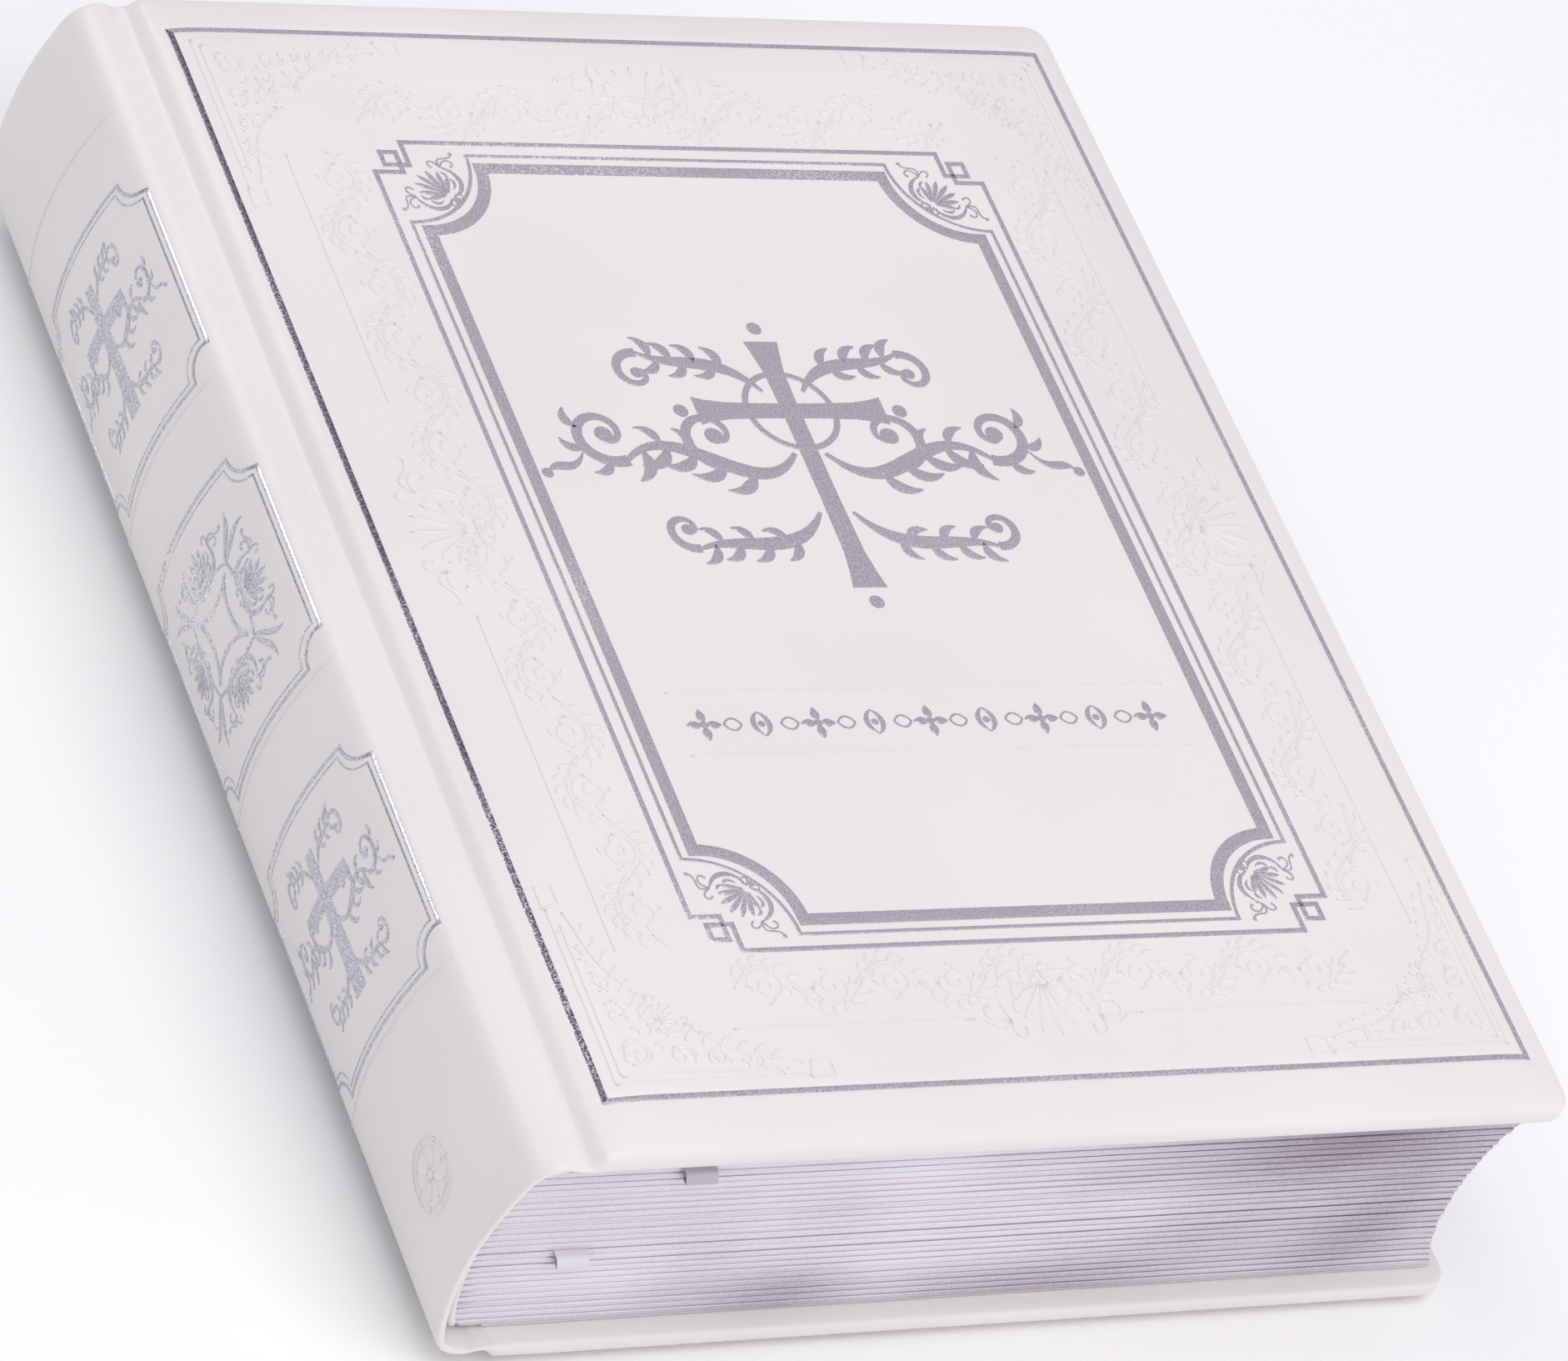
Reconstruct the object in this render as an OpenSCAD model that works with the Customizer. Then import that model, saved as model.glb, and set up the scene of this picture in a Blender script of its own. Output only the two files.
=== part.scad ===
// Padded hardcover bible with a rounded spine, French-groove joints and gilt edges.
// It lies on its back cover, front cover up. X runs from the spine to the fore-edge, Y from the
// tail to the head, Z up. The origin is under the middle of the closed book.

/* [Book] */
// Width of the closed book, spine to fore-edge
book_w = 224; // [200:1:240]
// Height of the covers, tail to head
book_h = 284; // [260:1:300]
// Thickness of the closed book over both padded covers
book_t = 63; // [62:0.5:64]

/* [Covers] */
// Thickness of the faux leather
skin_t = 0.8; // [0.6:0.1:0.9]
// Thickness of the foam under the leather
pad_t = 1.7; // [1.4:0.1:1.8]
// Thickness of the greyboard
board_t = 3; // [2.6:0.1:3]
// Radius of the cover's outer corners, seen from above
corner_r = 5; // [3:0.5:7]
// Roundness of the padded top edge of each cover
edge_r = 2.5; // [2:0.1:2.5]
// Width of leather turned in over the inside of the board
turn_in_w = 15; // [10:1:20]
// How far the covers stand past the pages at the head and the tail
square_y = 4.4; // [3:0.1:6]
// How far the covers stand past the pages at the fore-edge
square_x = 3; // [2:0.1:5]

/* [Joints] */
// Distance of the spine-side hinge line from the outermost spine
shoulder_x = 10.3; // [10.2:0.1:11]
// Distance of the board-side hinge line from the outermost spine
board_x = 16.8; // [16.4:0.1:18]
// Depth of both hinge lines below the outside of the cover
hinge_depth = 4.7; // [4.5:0.1:4.8]

/* [Spine and text block] */
// Radius of the flat middle of the spine
crown_r = 75; // [65:1:90]
// Radius of the spine's shoulders
shoulder_r = 7; // [6:0.5:8]
// Depth of the hollow of the fore-edge
fore_hollow = 6.4; // [3:0.1:8]
// Thickness of one leaf
leaf_t = 0.3; // [0.2:0.05:0.3]
// Distance of the line about which the end leaves turn, from the outermost spine
turn_line_x = 26; // [24:1:30]

/* [Ribbon markers] */
// Width of each ribbon
ribbon_w = 6.5; // [5:0.5:8]
// Where the lower ribbon leaves the tail, from the outermost spine
lower_ribbon_x = 21; // [18:1:30]
// Where the upper ribbon leaves the tail, from the outermost spine
upper_ribbon_x = 37.5; // [34:0.5:60]

/* [Foil] */
// Width of the foil line round the cover
fillet_w = 1; // [0.6:0.1:1.5]
// Width of the thick foil band of the panel
band_w = 2.6; // [2:0.1:3]
// Radius of the hollow corners of the band
hollow_r = 18; // [15:1:20]

/* [Hidden] */
$fn = 96;
foil_t = 0.1;
turn_in_t = 0.5;
pastedown_t = 0.25;
cover_t = skin_t + pad_t + board_t + turn_in_t + pastedown_t;
mid_z = book_t / 2;
hinge_z = book_t - hinge_depth;
joint_gap = 0.3;
strip_lining_t = 0.5;
play = 0.05;
pad_r = min(edge_r - skin_t, pad_t - 0.1);

// spine shell, measured from the middle of the thickness
spine_half_t = 27.5;
stiffener_t = 0.75;
lining_left = 3.2;
mull_left = 3.7;
thread_left = 4.1;
block_left = 4.5;

// end leaves above and below the sections
leaf_pitch = leaf_t + 0.1;
front_leaves = 4;
page_h = book_h - 2 * square_y;
fore_x = book_w - square_x;
text_lo = cover_t + leaf_pitch + play;
text_hi = book_t - cover_t - front_leaves * leaf_pitch - 0.15;
block_half_t = mid_z - cover_t;
block_shoulder_r = 6;
block_crown_r = crown_r - 3;
leaf_left = 12.5;

// heights at which the ribbons lie and come back in under a few leaves
ribbon_t = 0.3;
ribbon_gap = 0.4;
lower_in = 24.4;
lower_out = 28;
upper_in = 47.8;
upper_out = 51.5;
tucked_len = 42;
back_sections = 13;
marked_sections = 2;
middle_sections = 14;
front_sections = 2;

// foil panel, centred on the board
stamp_x = (board_x + book_w) / 2;
stamp_y = 1.6;
fillet_half = [98.9, 131.3];
outer_half = [68.6, 100.3];
middle_half = [65.6, 97.2];
band_half = [63.6, 95];
label_h = 50;
label_pitch = 70;
label_mid = 4;
label_half_z = 22;

// ---------- helpers ----------

// moves a piece measured from the outermost spine into the book's own frame
module from_spine() {
    translate([-book_w / 2, 0, 0]) children();
}

// the back cover is the front cover turned over
module flip() {
    translate([0, 0, book_t]) mirror([0, 0, 1]) children();
}

// extrudes an outline drawn in X and Z along Y, centred
module along_y(length) {
    rotate([90, 0, 0]) linear_extrude(length, center = true) children();
}

// the same between two places on Y
module between_y(y_from, y_to) {
    translate([0, (y_from + y_to) / 2, 0]) along_y(y_to - y_from) children();
}

module rounded_rect(size, r) {
    translate([r, 0]) square([size[0] - 2 * r, size[1]]);
    translate([0, r]) square([size[0], size[1] - 2 * r]);
    for (x = [r, size[0] - r], y = [r, size[1] - r]) translate([x, y]) circle(r);
}

// outline with only its two upper corners round
module round_top(width, height, r) {
    square([width, height - r]);
    translate([r, 0]) square([width - 2 * r, height]);
    for (x = [r, width - r]) translate([x, height - r]) circle(r);
}

// the padded cover's solid from z_from up to its round top, drawn in by inset on each side
module cover_solid(inset, z_from, z_to, r) {
    width = book_w - board_x - 2 * inset;
    length = book_h - 2 * inset;
    translate([board_x + inset, 0, z_from]) intersection() {
        translate([0, -length / 2, 0])
            linear_extrude(z_to - z_from) rounded_rect([width, length], corner_r - inset);
        along_y(length + 1) round_top(width, z_to - z_from, r);
        rotate([90, 0, 90]) linear_extrude(width)
            translate([-length / 2, 0]) round_top(length, z_to - z_from, r);
    }
}

// rounded back in X and Z: a wide crown that runs smoothly into two shoulders
module rounded_back(left, half_t, crown, shoulder, right) {
    shoulder_z = half_t - shoulder;
    shoulder_mid = left + crown - sqrt(pow(crown - shoulder, 2) - pow(shoulder_z, 2));
    touch_z = crown * shoulder_z / (crown - shoulder);
    translate([0, mid_z]) {
        intersection() {
            translate([left + crown, 0]) circle(crown);
            translate([left, -touch_z]) square([shoulder_mid - left + 1, 2 * touch_z]);
        }
        for (z = [-shoulder_z, shoulder_z]) translate([shoulder_mid, z]) circle(shoulder);
        translate([shoulder_mid, -half_t]) square([right - shoulder_mid, 2 * half_t]);
    }
}

module shell_outline(inset) {
    rounded_back(inset, spine_half_t - inset, crown_r - inset, shoulder_r - inset, 40);
}

// a layer of the spine shell between two depths, up to the hinge line
module shell_layer(outer, inner, half_z, right) {
    intersection() {
        difference() {
            shell_outline(outer);
            shell_outline(inner);
        }
        translate([-1, mid_z - half_z]) square([right + 1, 2 * half_z]);
    }
}

module block_outline(left) {
    grow = block_left - left;
    rounded_back(left, block_half_t + grow, block_crown_r + grow, block_shoulder_r + grow, 60);
}

// a layer that wraps the back of the text block
module back_layer(outer_left, inner_left, half_z) {
    intersection() {
        difference() {
            block_outline(outer_left);
            block_outline(inner_left);
        }
        translate([0, mid_z - half_z]) square([30, 2 * half_z]);
    }
}

// the page area in X and Z, with the round back and the hollow fore-edge
module page_outline() {
    hollow = (pow(block_half_t, 2) + pow(fore_hollow, 2)) / (2 * fore_hollow);
    difference() {
        union() {
            block_outline(block_left);
            translate([50, mid_z - block_half_t]) square([fore_x - 50, 2 * block_half_t]);
        }
        translate([fore_x - fore_hollow + hollow, mid_z]) circle(hollow);
    }
}

// count sections of equal thickness between two heights
module sections(z_from, z_to, count) {
    pitch = (z_to - z_from) / count;
    color("gainsboro") from_spine() for (i = [0:count - 1]) {
        along_y(page_h) intersection() {
            page_outline();
            translate([0, z_from + i * pitch]) square([book_w, pitch - play]);
        }
    }
}

// the free part of an end leaf, from just past its turning line to the fore-edge
module leaf(z_from) {
    start = turn_line_x + 2;
    color("white") from_spine() translate([start, -page_h / 2, z_from])
        cube([fore_x - start - 0.5, page_h, leaf_t]);
}

function leaf_z(i) = text_hi + 0.1 + i * leaf_pitch;

// ---------- covers ----------

module cover_board() {
    color("tan") translate([board_x + skin_t, -book_h / 2 + skin_t, book_t - skin_t - pad_t - board_t])
        linear_extrude(board_t)
        rounded_rect([book_w - board_x - 2 * skin_t, book_h - 2 * skin_t], corner_r - skin_t);
}

module cover_padding() {
    color("ivory")
        cover_solid(skin_t, book_t - skin_t - pad_t, book_t - skin_t, pad_r);
}

module cover_skin() {
    board_z = book_t - skin_t - pad_t - board_t;
    color("whitesmoke") difference() {
        cover_solid(0, board_z - turn_in_t, book_t, edge_r);
        cover_solid(skin_t, board_z, book_t - skin_t, pad_r);
        translate([board_x - 1, -book_h / 2 + turn_in_w, board_z - 1])
            cube([book_w - board_x + 1 - turn_in_w, book_h - 2 * turn_in_w, 1 + play]);
    }
}

module cover_pastedown() {
    margin = 5;
    color("white") translate([board_x + 0.5, -book_h / 2 + margin, book_t - cover_t])
        cube([book_w - board_x - margin - 0.5, book_h - 2 * margin, pastedown_t]);
}

module joint_leather() {
    color("whitesmoke") translate([shoulder_x + joint_gap, -book_h / 2, hinge_z - skin_t])
        cube([board_x - shoulder_x - 2 * joint_gap, book_h, skin_t]);
}

module joint_lining() {
    color("white")
        translate([shoulder_x + joint_gap, -page_h / 2, hinge_z - skin_t - play - strip_lining_t])
        cube([board_x - shoulder_x - 2 * joint_gap, page_h, strip_lining_t]);
}

module front_board() { from_spine() cover_board(); }
module front_padding() { from_spine() cover_padding(); }
module front_cover_skin() { from_spine() cover_skin(); }
module front_pastedown() { from_spine() cover_pastedown(); }
module front_joint_leather() { from_spine() joint_leather(); }
module front_joint_lining() { from_spine() joint_lining(); }
module back_board() { from_spine() flip() cover_board(); }
module back_padding() { from_spine() flip() cover_padding(); }
module back_cover_skin() { from_spine() flip() cover_skin(); }
module back_pastedown() { from_spine() flip() cover_pastedown(); }
module back_joint_leather() { from_spine() flip() joint_leather(); }
module back_joint_lining() { from_spine() flip() joint_lining(); }

// ---------- foil on the front cover ----------

module stamp() {
    color("silver") from_spine() translate([stamp_x, stamp_y, book_t])
        linear_extrude(foil_t) children();
}

module hollow_corner_rect(half, r) {
    difference() {
        square(2 * half, center = true);
        for (x = [-half[0], half[0]], y = [-half[1], half[1]]) translate([x, y]) circle(r);
    }
}

module notched_rect(half, notch) {
    difference() {
        square(2 * half, center = true);
        for (x = [-half[0], half[0]], y = [-half[1], half[1]])
            translate([x, y]) square(2 * notch, center = true);
    }
}

module front_fillet() {
    stamp() translate([-1.4, 0]) difference() {
        square(2 * fillet_half, center = true);
        square(2 * (fillet_half - [fillet_w, fillet_w]), center = true);
    }
}

module front_panel_lines() {
    line_w = 0.8;
    thin_w = 0.5;
    notch = 8;
    stamp() {
        difference() {
            notched_rect(outer_half, notch);
            notched_rect(outer_half - [line_w, line_w], notch);
        }
        difference() {
            hollow_corner_rect(middle_half, hollow_r);
            hollow_corner_rect(middle_half - [thin_w, thin_w], hollow_r);
        }
    }
}

module front_panel_band() {
    stamp() difference() {
        hollow_corner_rect(band_half, hollow_r);
        hollow_corner_rect(band_half - [band_w, band_w], hollow_r);
    }
}

// a fan of round-ended petals pointing along +Y
module palmette(petal, count, spread) {
    for (i = [0:count - 1]) rotate(spread * (i / (count - 1) - 0.5)) {
        translate([-petal / 12, petal * 0.3]) square([petal / 6, petal * 0.6]);
        translate([0, petal * 0.9]) circle(petal / 8);
    }
    circle(petal * 0.35);
}

// small ring-shaped square set on its corner
module diamond(side) {
    difference() {
        square(side, center = true);
        square(side * 0.5, center = true);
    }
}

module front_corner_ornaments() {
    diamond_at = outer_half - [4.3, 4.3];
    palmette_at = middle_half - [10.5, 10.5];
    stamp() for (sx = [-1, 1], sy = [-1, 1]) {
        translate([sx * diamond_at[0], sy * diamond_at[1]]) diamond(3.6);
        translate([sx * palmette_at[0], sy * palmette_at[1]])
            rotate(atan2(sy, sx) - 90) palmette(6, 7, 150);
    }
}

// plain cross with flared ends over a ring
module front_centre_ornament() {
    arm_w = 5;
    stamp() translate([0, 17]) {
        translate([-arm_w / 2, -34]) square([arm_w, 68]);
        translate([-22, 10]) square([44, arm_w]);
        difference() {
            translate([0, 12.5]) circle(14);
            translate([0, 12.5]) circle(12);
        }
        for (a = [0, 90, 180]) translate([0, 12.5]) rotate(a) translate([22, 0]) circle(3.6);
        translate([0, -34]) circle(3.6);
    }
}

// row of leaves and beads between two lines
module front_lower_ornament() {
    beads = 9;
    pitch = 11;
    stamp() translate([0, -47.2]) for (i = [0:beads - 1]) {
        translate([(i - (beads - 1) / 2) * pitch, 0]) {
            circle(i % 2 == 0 ? 2.6 : 1.3);
            translate([-pitch / 2, -0.3]) square([pitch, 0.6]);
        }
    }
}

// ---------- spine ----------

module spine_leather() {
    color("whitesmoke") from_spine() along_y(book_h)
        shell_layer(0, skin_t, spine_half_t, shoulder_x - 0.5);
}

module spine_stiffener() {
    color("tan") from_spine() along_y(book_h - 6)
        shell_layer(skin_t, skin_t + stiffener_t, spine_half_t - 4, shoulder_x - 1);
}

// foil of the labels: a thin layer outside the leather, between two heights on the spine
module spine_foil(z_from, z_to) {
    intersection() {
        difference() {
            shell_outline(-foil_t);
            shell_outline(0);
        }
        translate([-1, mid_z + z_from]) square([12, z_to - z_from]);
    }
}

module spine_label_frames() {
    line_w = 0.7;
    color("silver") from_spine() for (i = [-1:1]) translate([0, label_mid + i * label_pitch, 0]) {
        for (s = [-1, 1]) {
            translate([0, s * label_h / 2, 0]) along_y(line_w) spine_foil(-label_half_z, label_half_z);
            along_y(label_h - line_w)
                spine_foil(s * label_half_z - line_w / 2, s * label_half_z + line_w / 2);
        }
    }
}

module spine_label_ornaments() {
    bars = 5;
    bar_pitch = label_h / 7;
    color("silver") from_spine() for (i = [-1:1]) translate([0, label_mid + i * label_pitch, 0]) {
        for (k = [0:bars - 1]) {
            half_z = 14 - 5 * abs(k - (bars - 1) / 2);
            translate([0, (k - (bars - 1) / 2) * bar_pitch, 0]) along_y(bar_pitch * 0.4)
                spine_foil(-half_z, half_z);
        }
    }
}

// ---------- text block ----------

module spine_lining() {
    color("burlywood") from_spine() along_y(page_h - 4)
        back_layer(lining_left, mull_left - play, block_half_t - 4);
}

module spine_mull() {
    color("beige") from_spine() along_y(page_h - 26)
        back_layer(mull_left, thread_left - play, block_half_t - 2);
}

module sewing_threads() {
    stations = [-115, -78, -70, -4, 4, 70, 78, 115];
    color("white") from_spine() for (y = stations) translate([0, y, 0])
        along_y(0.6) back_layer(thread_left, block_left - play, block_half_t - 3);
}

module band_roll(y_from, y_to) {
    color("white") from_spine() between_y(y_from, y_to)
        back_layer(block_left - 1, block_left + 1.2, block_half_t - 2);
}

module headband() { band_roll(page_h / 2 + play, page_h / 2 + 2); }
module tailband() { band_roll(-page_h / 2 - 2, -page_h / 2 - play); }

module sections_back() { sections(text_lo, lower_in, back_sections); }
module sections_under_lower_ribbon() {
    sections(lower_in + ribbon_gap, lower_out, marked_sections);
}
module sections_middle() { sections(lower_out + ribbon_gap, upper_in, middle_sections); }
module sections_under_upper_ribbon() {
    sections(upper_in + ribbon_gap, upper_out, marked_sections);
}
module sections_front() { sections(upper_out + ribbon_gap, text_hi, front_sections); }

// A ribbon runs down through the block from the head, turns round the tail edge of a few leaves,
// and goes back in under them. Its head end is turned down over the head edge of the block.
module ribbon(x_tail, z_out, z_in, tab_z) {
    lift = 0.05;
    x_head = 9;
    end_y = page_h / 2 + lift;
    color("white") from_spine() {
        translate([0, 0, z_out + lift]) linear_extrude(ribbon_t) polygon([
            [x_tail, -end_y - ribbon_t], [x_tail + ribbon_w, -end_y - ribbon_t],
            [x_head + ribbon_w, end_y + ribbon_t], [x_head, end_y + ribbon_t]]);
        translate([x_tail, -end_y - ribbon_t, z_in + lift])
            cube([ribbon_w, ribbon_t, z_out - z_in + ribbon_t]);
        translate([x_tail, -end_y - ribbon_t, z_in + lift])
            cube([ribbon_w, tucked_len, ribbon_t]);
        translate([x_head, end_y, min(tab_z, z_out + lift)])
            cube([ribbon_w, ribbon_t, abs(tab_z - z_out - lift) + ribbon_t]);
    }
}

module lower_ribbon() { ribbon(lower_ribbon_x, lower_out, lower_in, lower_out - 6); }
module upper_ribbon() { ribbon(upper_ribbon_x, upper_out, upper_in, upper_out - 6); }

// The glued gutter margins of the end leaves stay with the block. They stop short of the turning
// line, so that a leaf which is turned right over stays clear of them.
module margin_at(z_from) {
    color("white") from_spine() translate([leaf_left, -page_h / 2, z_from])
        cube([turn_line_x - 4.4 - leaf_left, page_h, leaf_t]);
}

module front_leaf_margins() { for (i = [0:front_leaves - 1]) margin_at(leaf_z(i)); }
module back_leaf_margin() { margin_at(cover_t + 0.1); }

module title_leaf() { leaf(leaf_z(0)); }
module record_leaf() { leaf(leaf_z(1)); }
module presentation_leaf() { leaf(leaf_z(2)); }
module front_flyleaf() { leaf(leaf_z(3)); }
module back_flyleaf() { leaf(cover_t + 0.1); }

front_board();
front_padding();
front_cover_skin();
front_pastedown();
front_fillet();
front_panel_lines();
front_panel_band();
front_corner_ornaments();
front_centre_ornament();
front_lower_ornament();
front_joint_leather();
front_joint_lining();
spine_leather();
spine_stiffener();
spine_label_frames();
spine_label_ornaments();
spine_lining();
spine_mull();
sewing_threads();
headband();
tailband();
sections_front();
sections_under_upper_ribbon();
sections_middle();
sections_under_lower_ribbon();
sections_back();
upper_ribbon();
lower_ribbon();
front_leaf_margins();
back_leaf_margin();
title_leaf();
record_leaf();
presentation_leaf();
front_flyleaf();
back_flyleaf();
back_joint_leather();
back_joint_lining();
back_board();
back_padding();
back_cover_skin();
back_pastedown();
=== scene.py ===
import math

import bmesh
import bpy
import numpy as np
from mathutils import Matrix, Vector


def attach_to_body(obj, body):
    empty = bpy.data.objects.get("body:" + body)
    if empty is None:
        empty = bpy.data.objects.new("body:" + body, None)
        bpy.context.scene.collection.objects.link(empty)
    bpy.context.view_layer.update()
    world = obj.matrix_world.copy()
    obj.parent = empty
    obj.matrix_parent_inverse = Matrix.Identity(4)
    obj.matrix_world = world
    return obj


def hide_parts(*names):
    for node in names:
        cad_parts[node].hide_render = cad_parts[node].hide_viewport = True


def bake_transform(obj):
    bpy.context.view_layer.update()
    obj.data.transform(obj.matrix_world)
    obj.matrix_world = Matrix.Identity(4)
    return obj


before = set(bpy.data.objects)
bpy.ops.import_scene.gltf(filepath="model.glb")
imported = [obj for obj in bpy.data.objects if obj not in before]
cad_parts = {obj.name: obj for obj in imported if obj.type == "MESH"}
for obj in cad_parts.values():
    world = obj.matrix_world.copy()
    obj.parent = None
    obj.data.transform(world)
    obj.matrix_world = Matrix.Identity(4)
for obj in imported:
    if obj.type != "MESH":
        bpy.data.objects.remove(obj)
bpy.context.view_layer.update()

# Lengths are in millimetres until row() turns them into the row frame's metres. X is measured from
# the outermost spine, Y from the middle of the height, Z from the table.
MM = 0.001
BOOK_W, BOOK_T = 224.0, 63.0
HALF_H = 142.0
MID_Z = BOOK_T / 2
PAGE_HALF = 137.6  # half the height of the pages
INNER_Z = 57.0  # where the leather lies turned in under the front cover


# ---------- camera, light and floor ----------

CAMERA_AT = (-0.75214, -0.84505, 1.03201)
CAMERA_AHEAD = (0.50193, 0.55446, -0.66381)
CAMERA_UP = (0.01494, 0.76182, 0.64762)
CAMERA_LENS, CAMERA_SENSOR = 180, 36

WORLD_COLOUR, WORLD_STRENGTH = (0.90, 0.915, 1.0, 1), 0.5
LIGHTS_AIM = (0, 0, 0.03)
# Name, place, size, watts and colour of each area light
LIGHTS = [("key", (0.05, -0.42, 1.8), (1.5, 1.5), 15.3, (1, 0.97, 0.94)),
          ("shoulder_light", (-0.7, 1.15, 1.25), (1.1, 0.5), 6, (1, 1, 1)),
          ("tail_fill", (0.85, -1.6, 0.85), (2.6, 1.6), 12, (1, 0.95, 0.93))]


def add_camera():
    ahead = Vector(CAMERA_AHEAD).normalized()
    right = ahead.cross(Vector(CAMERA_UP)).normalized()
    up = right.cross(ahead)
    data = bpy.data.cameras.new("camera")
    data.lens = CAMERA_LENS
    data.sensor_width = CAMERA_SENSOR
    data.sensor_fit = "HORIZONTAL"
    data.clip_start = 0.05
    data.clip_end = 20
    camera = bpy.data.objects.new("camera", data)
    bpy.context.collection.objects.link(camera)
    turn = Matrix((right, up, -ahead)).transposed().to_4x4()
    camera.matrix_world = Matrix.Translation(Vector(CAMERA_AT)) @ turn
    bpy.context.scene.camera = camera


def add_light(name, at, size, watts, colour):
    data = bpy.data.lights.new(name, "AREA")
    data.shape = "RECTANGLE"
    data.size, data.size_y = size
    data.energy = watts
    data.color = colour
    lamp = bpy.data.objects.new(name, data)
    bpy.context.collection.objects.link(lamp)
    lamp.location = at
    lamp.rotation_euler = (Vector(LIGHTS_AIM) - Vector(at)).to_track_quat("-Z", "Y").to_euler()


def add_world():
    world = bpy.data.worlds.new("studio")
    bpy.context.scene.world = world
    world.use_nodes = True
    background = world.node_tree.nodes["Background"]
    background.inputs["Color"].default_value = WORLD_COLOUR
    background.inputs["Strength"].default_value = WORLD_STRENGTH
    bpy.context.scene.view_settings.view_transform = "Standard"


add_camera()
add_world()
for light in LIGHTS:
    add_light(*light)


# ---------- materials ----------


class Nodes:
    """Short way to build a material's nodes."""

    def __init__(self, name):
        self.material = bpy.data.materials.new(name)
        self.material.use_nodes = True
        self.tree = self.material.node_tree
        self.shader = self.tree.nodes["Principled BSDF"]
        self.coords = self.tree.nodes.new("ShaderNodeTexCoord").outputs["Object"]

    def node(self, kind, **values):
        made = self.tree.nodes.new("ShaderNode" + kind)
        for key, value in values.items():
            if key in made.inputs:
                made.inputs[key].default_value = value
            else:
                setattr(made, key, value)
        return made

    def link(self, out, into):
        self.tree.links.new(out, into)

    def scaled(self, scale):
        mapping = self.node("Mapping", Scale=scale)
        self.link(self.coords, mapping.inputs["Vector"])
        return mapping.outputs["Vector"]

    def noise(self, scale, detail, roughness=0.5, stretch=None):
        made = self.node("TexNoise", Scale=scale, Detail=detail, Roughness=roughness)
        self.link(self.scaled(stretch) if stretch else self.coords, made.inputs["Vector"])
        return made.outputs["Fac"]

    def voronoi(self, scale):
        made = self.node("TexVoronoi", Scale=scale, feature="DISTANCE_TO_EDGE")
        self.link(self.coords, made.inputs["Vector"])
        return made.outputs["Distance"]

    def wave(self, scale, direction):
        made = self.node("TexWave", Scale=scale, Distortion=0, bands_direction=direction)
        self.link(self.coords, made.inputs["Vector"])
        return made.outputs["Fac"]

    def ramp(self, fac, stops):
        made = self.node("ValToRGB")
        ramp = made.color_ramp
        while len(ramp.elements) < len(stops):
            ramp.elements.new(0.5)
        for element, (at, colour) in zip(ramp.elements, stops):
            element.position = at
            element.color = (*colour, 1) if len(colour) == 3 else colour
        self.link(fac, made.inputs["Fac"])
        return made.outputs["Color"]

    def grey(self, fac, low, high, start=0.0, end=1.0, how="LINEAR"):
        made = self.node("MapRange", interpolation_type=how)
        for key, value in zip(("From Min", "From Max", "To Min", "To Max"), (start, end, low, high)):
            made.inputs[key].default_value = value
        self.link(fac, made.inputs["Value"])
        return made.outputs["Result"]

    def math(self, how, a, b):
        made = self.node("Math", operation=how)
        for socket, value in zip(made.inputs, (a, b)):
            if isinstance(value, (int, float)):
                socket.default_value = value
            else:
                self.link(value, socket)
        return made.outputs[0]

    def bump(self, height, distance, strength, after=None):
        made = self.node("Bump", Distance=distance, Strength=strength)
        self.link(height, made.inputs["Height"])
        if after is not None:
            self.link(after, made.inputs["Normal"])
        return made.outputs["Normal"]

    def finish(self, colour=None, roughness=None, normal=None, metallic=None, **fixed):
        for socket, value in (("Base Color", colour), ("Roughness", roughness),
                              ("Metallic", metallic), ("Normal", normal)):
            if value is None:
                continue
            if isinstance(value, (int, float, tuple)):
                self.shader.inputs[socket].default_value = value
            else:
                self.link(value, self.shader.inputs[socket])
        for key, value in fixed.items():
            self.shader.inputs[key.replace("_", " ")].default_value = value
        return self.material


def make_leather():
    n = Nodes("white_faux_leather")
    tone = n.ramp(n.noise(14, 3), [(0.3, (0.80, 0.765, 0.755)), (0.7, (0.845, 0.81, 0.79))])
    grain = n.bump(n.voronoi(1500), 0.00006, 0.35)
    grain = n.bump(n.noise(700, 3), 0.00008, 0.3, grain)
    soft = n.bump(n.noise(45, 2), 0.0006, 0.25, grain)
    rough = n.grey(n.noise(220, 2), 0.36, 0.46)
    return n.finish(tone, rough, soft, Coat_Weight=0.15, Coat_Roughness=0.22)


def make_foil(name, tones, metallic):
    n = Nodes(name)
    speck = n.noise(2600, 2, 0.7)
    patches = n.grey(n.noise(17, 1), 0, 1, 0.55, 0.66)
    # painted glints: in patches the foil's tone runs up to the near-white top of the ramp
    painted_glints = n.math("MULTIPLY", n.grey(n.noise(2100, 1, 0.7), 0, 1, 0.5, 0.6), patches)
    mix = n.math("ADD", speck, n.math("MULTIPLY", painted_glints, 0.35))
    tone = n.ramp(mix, [(0.30, tones[0]), (0.5, tones[1]), (0.72, tones[2]), (0.9, (0.93, 0.92, 0.95))])
    normal = n.bump(n.noise(1500, 2), 0.00008, 0.4)
    normal = n.bump(n.noise(120, 2), 0.0003, 0.2, normal)
    return n.finish(tone, n.grey(speck, 0.2, 0.42), normal, metallic)
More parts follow.
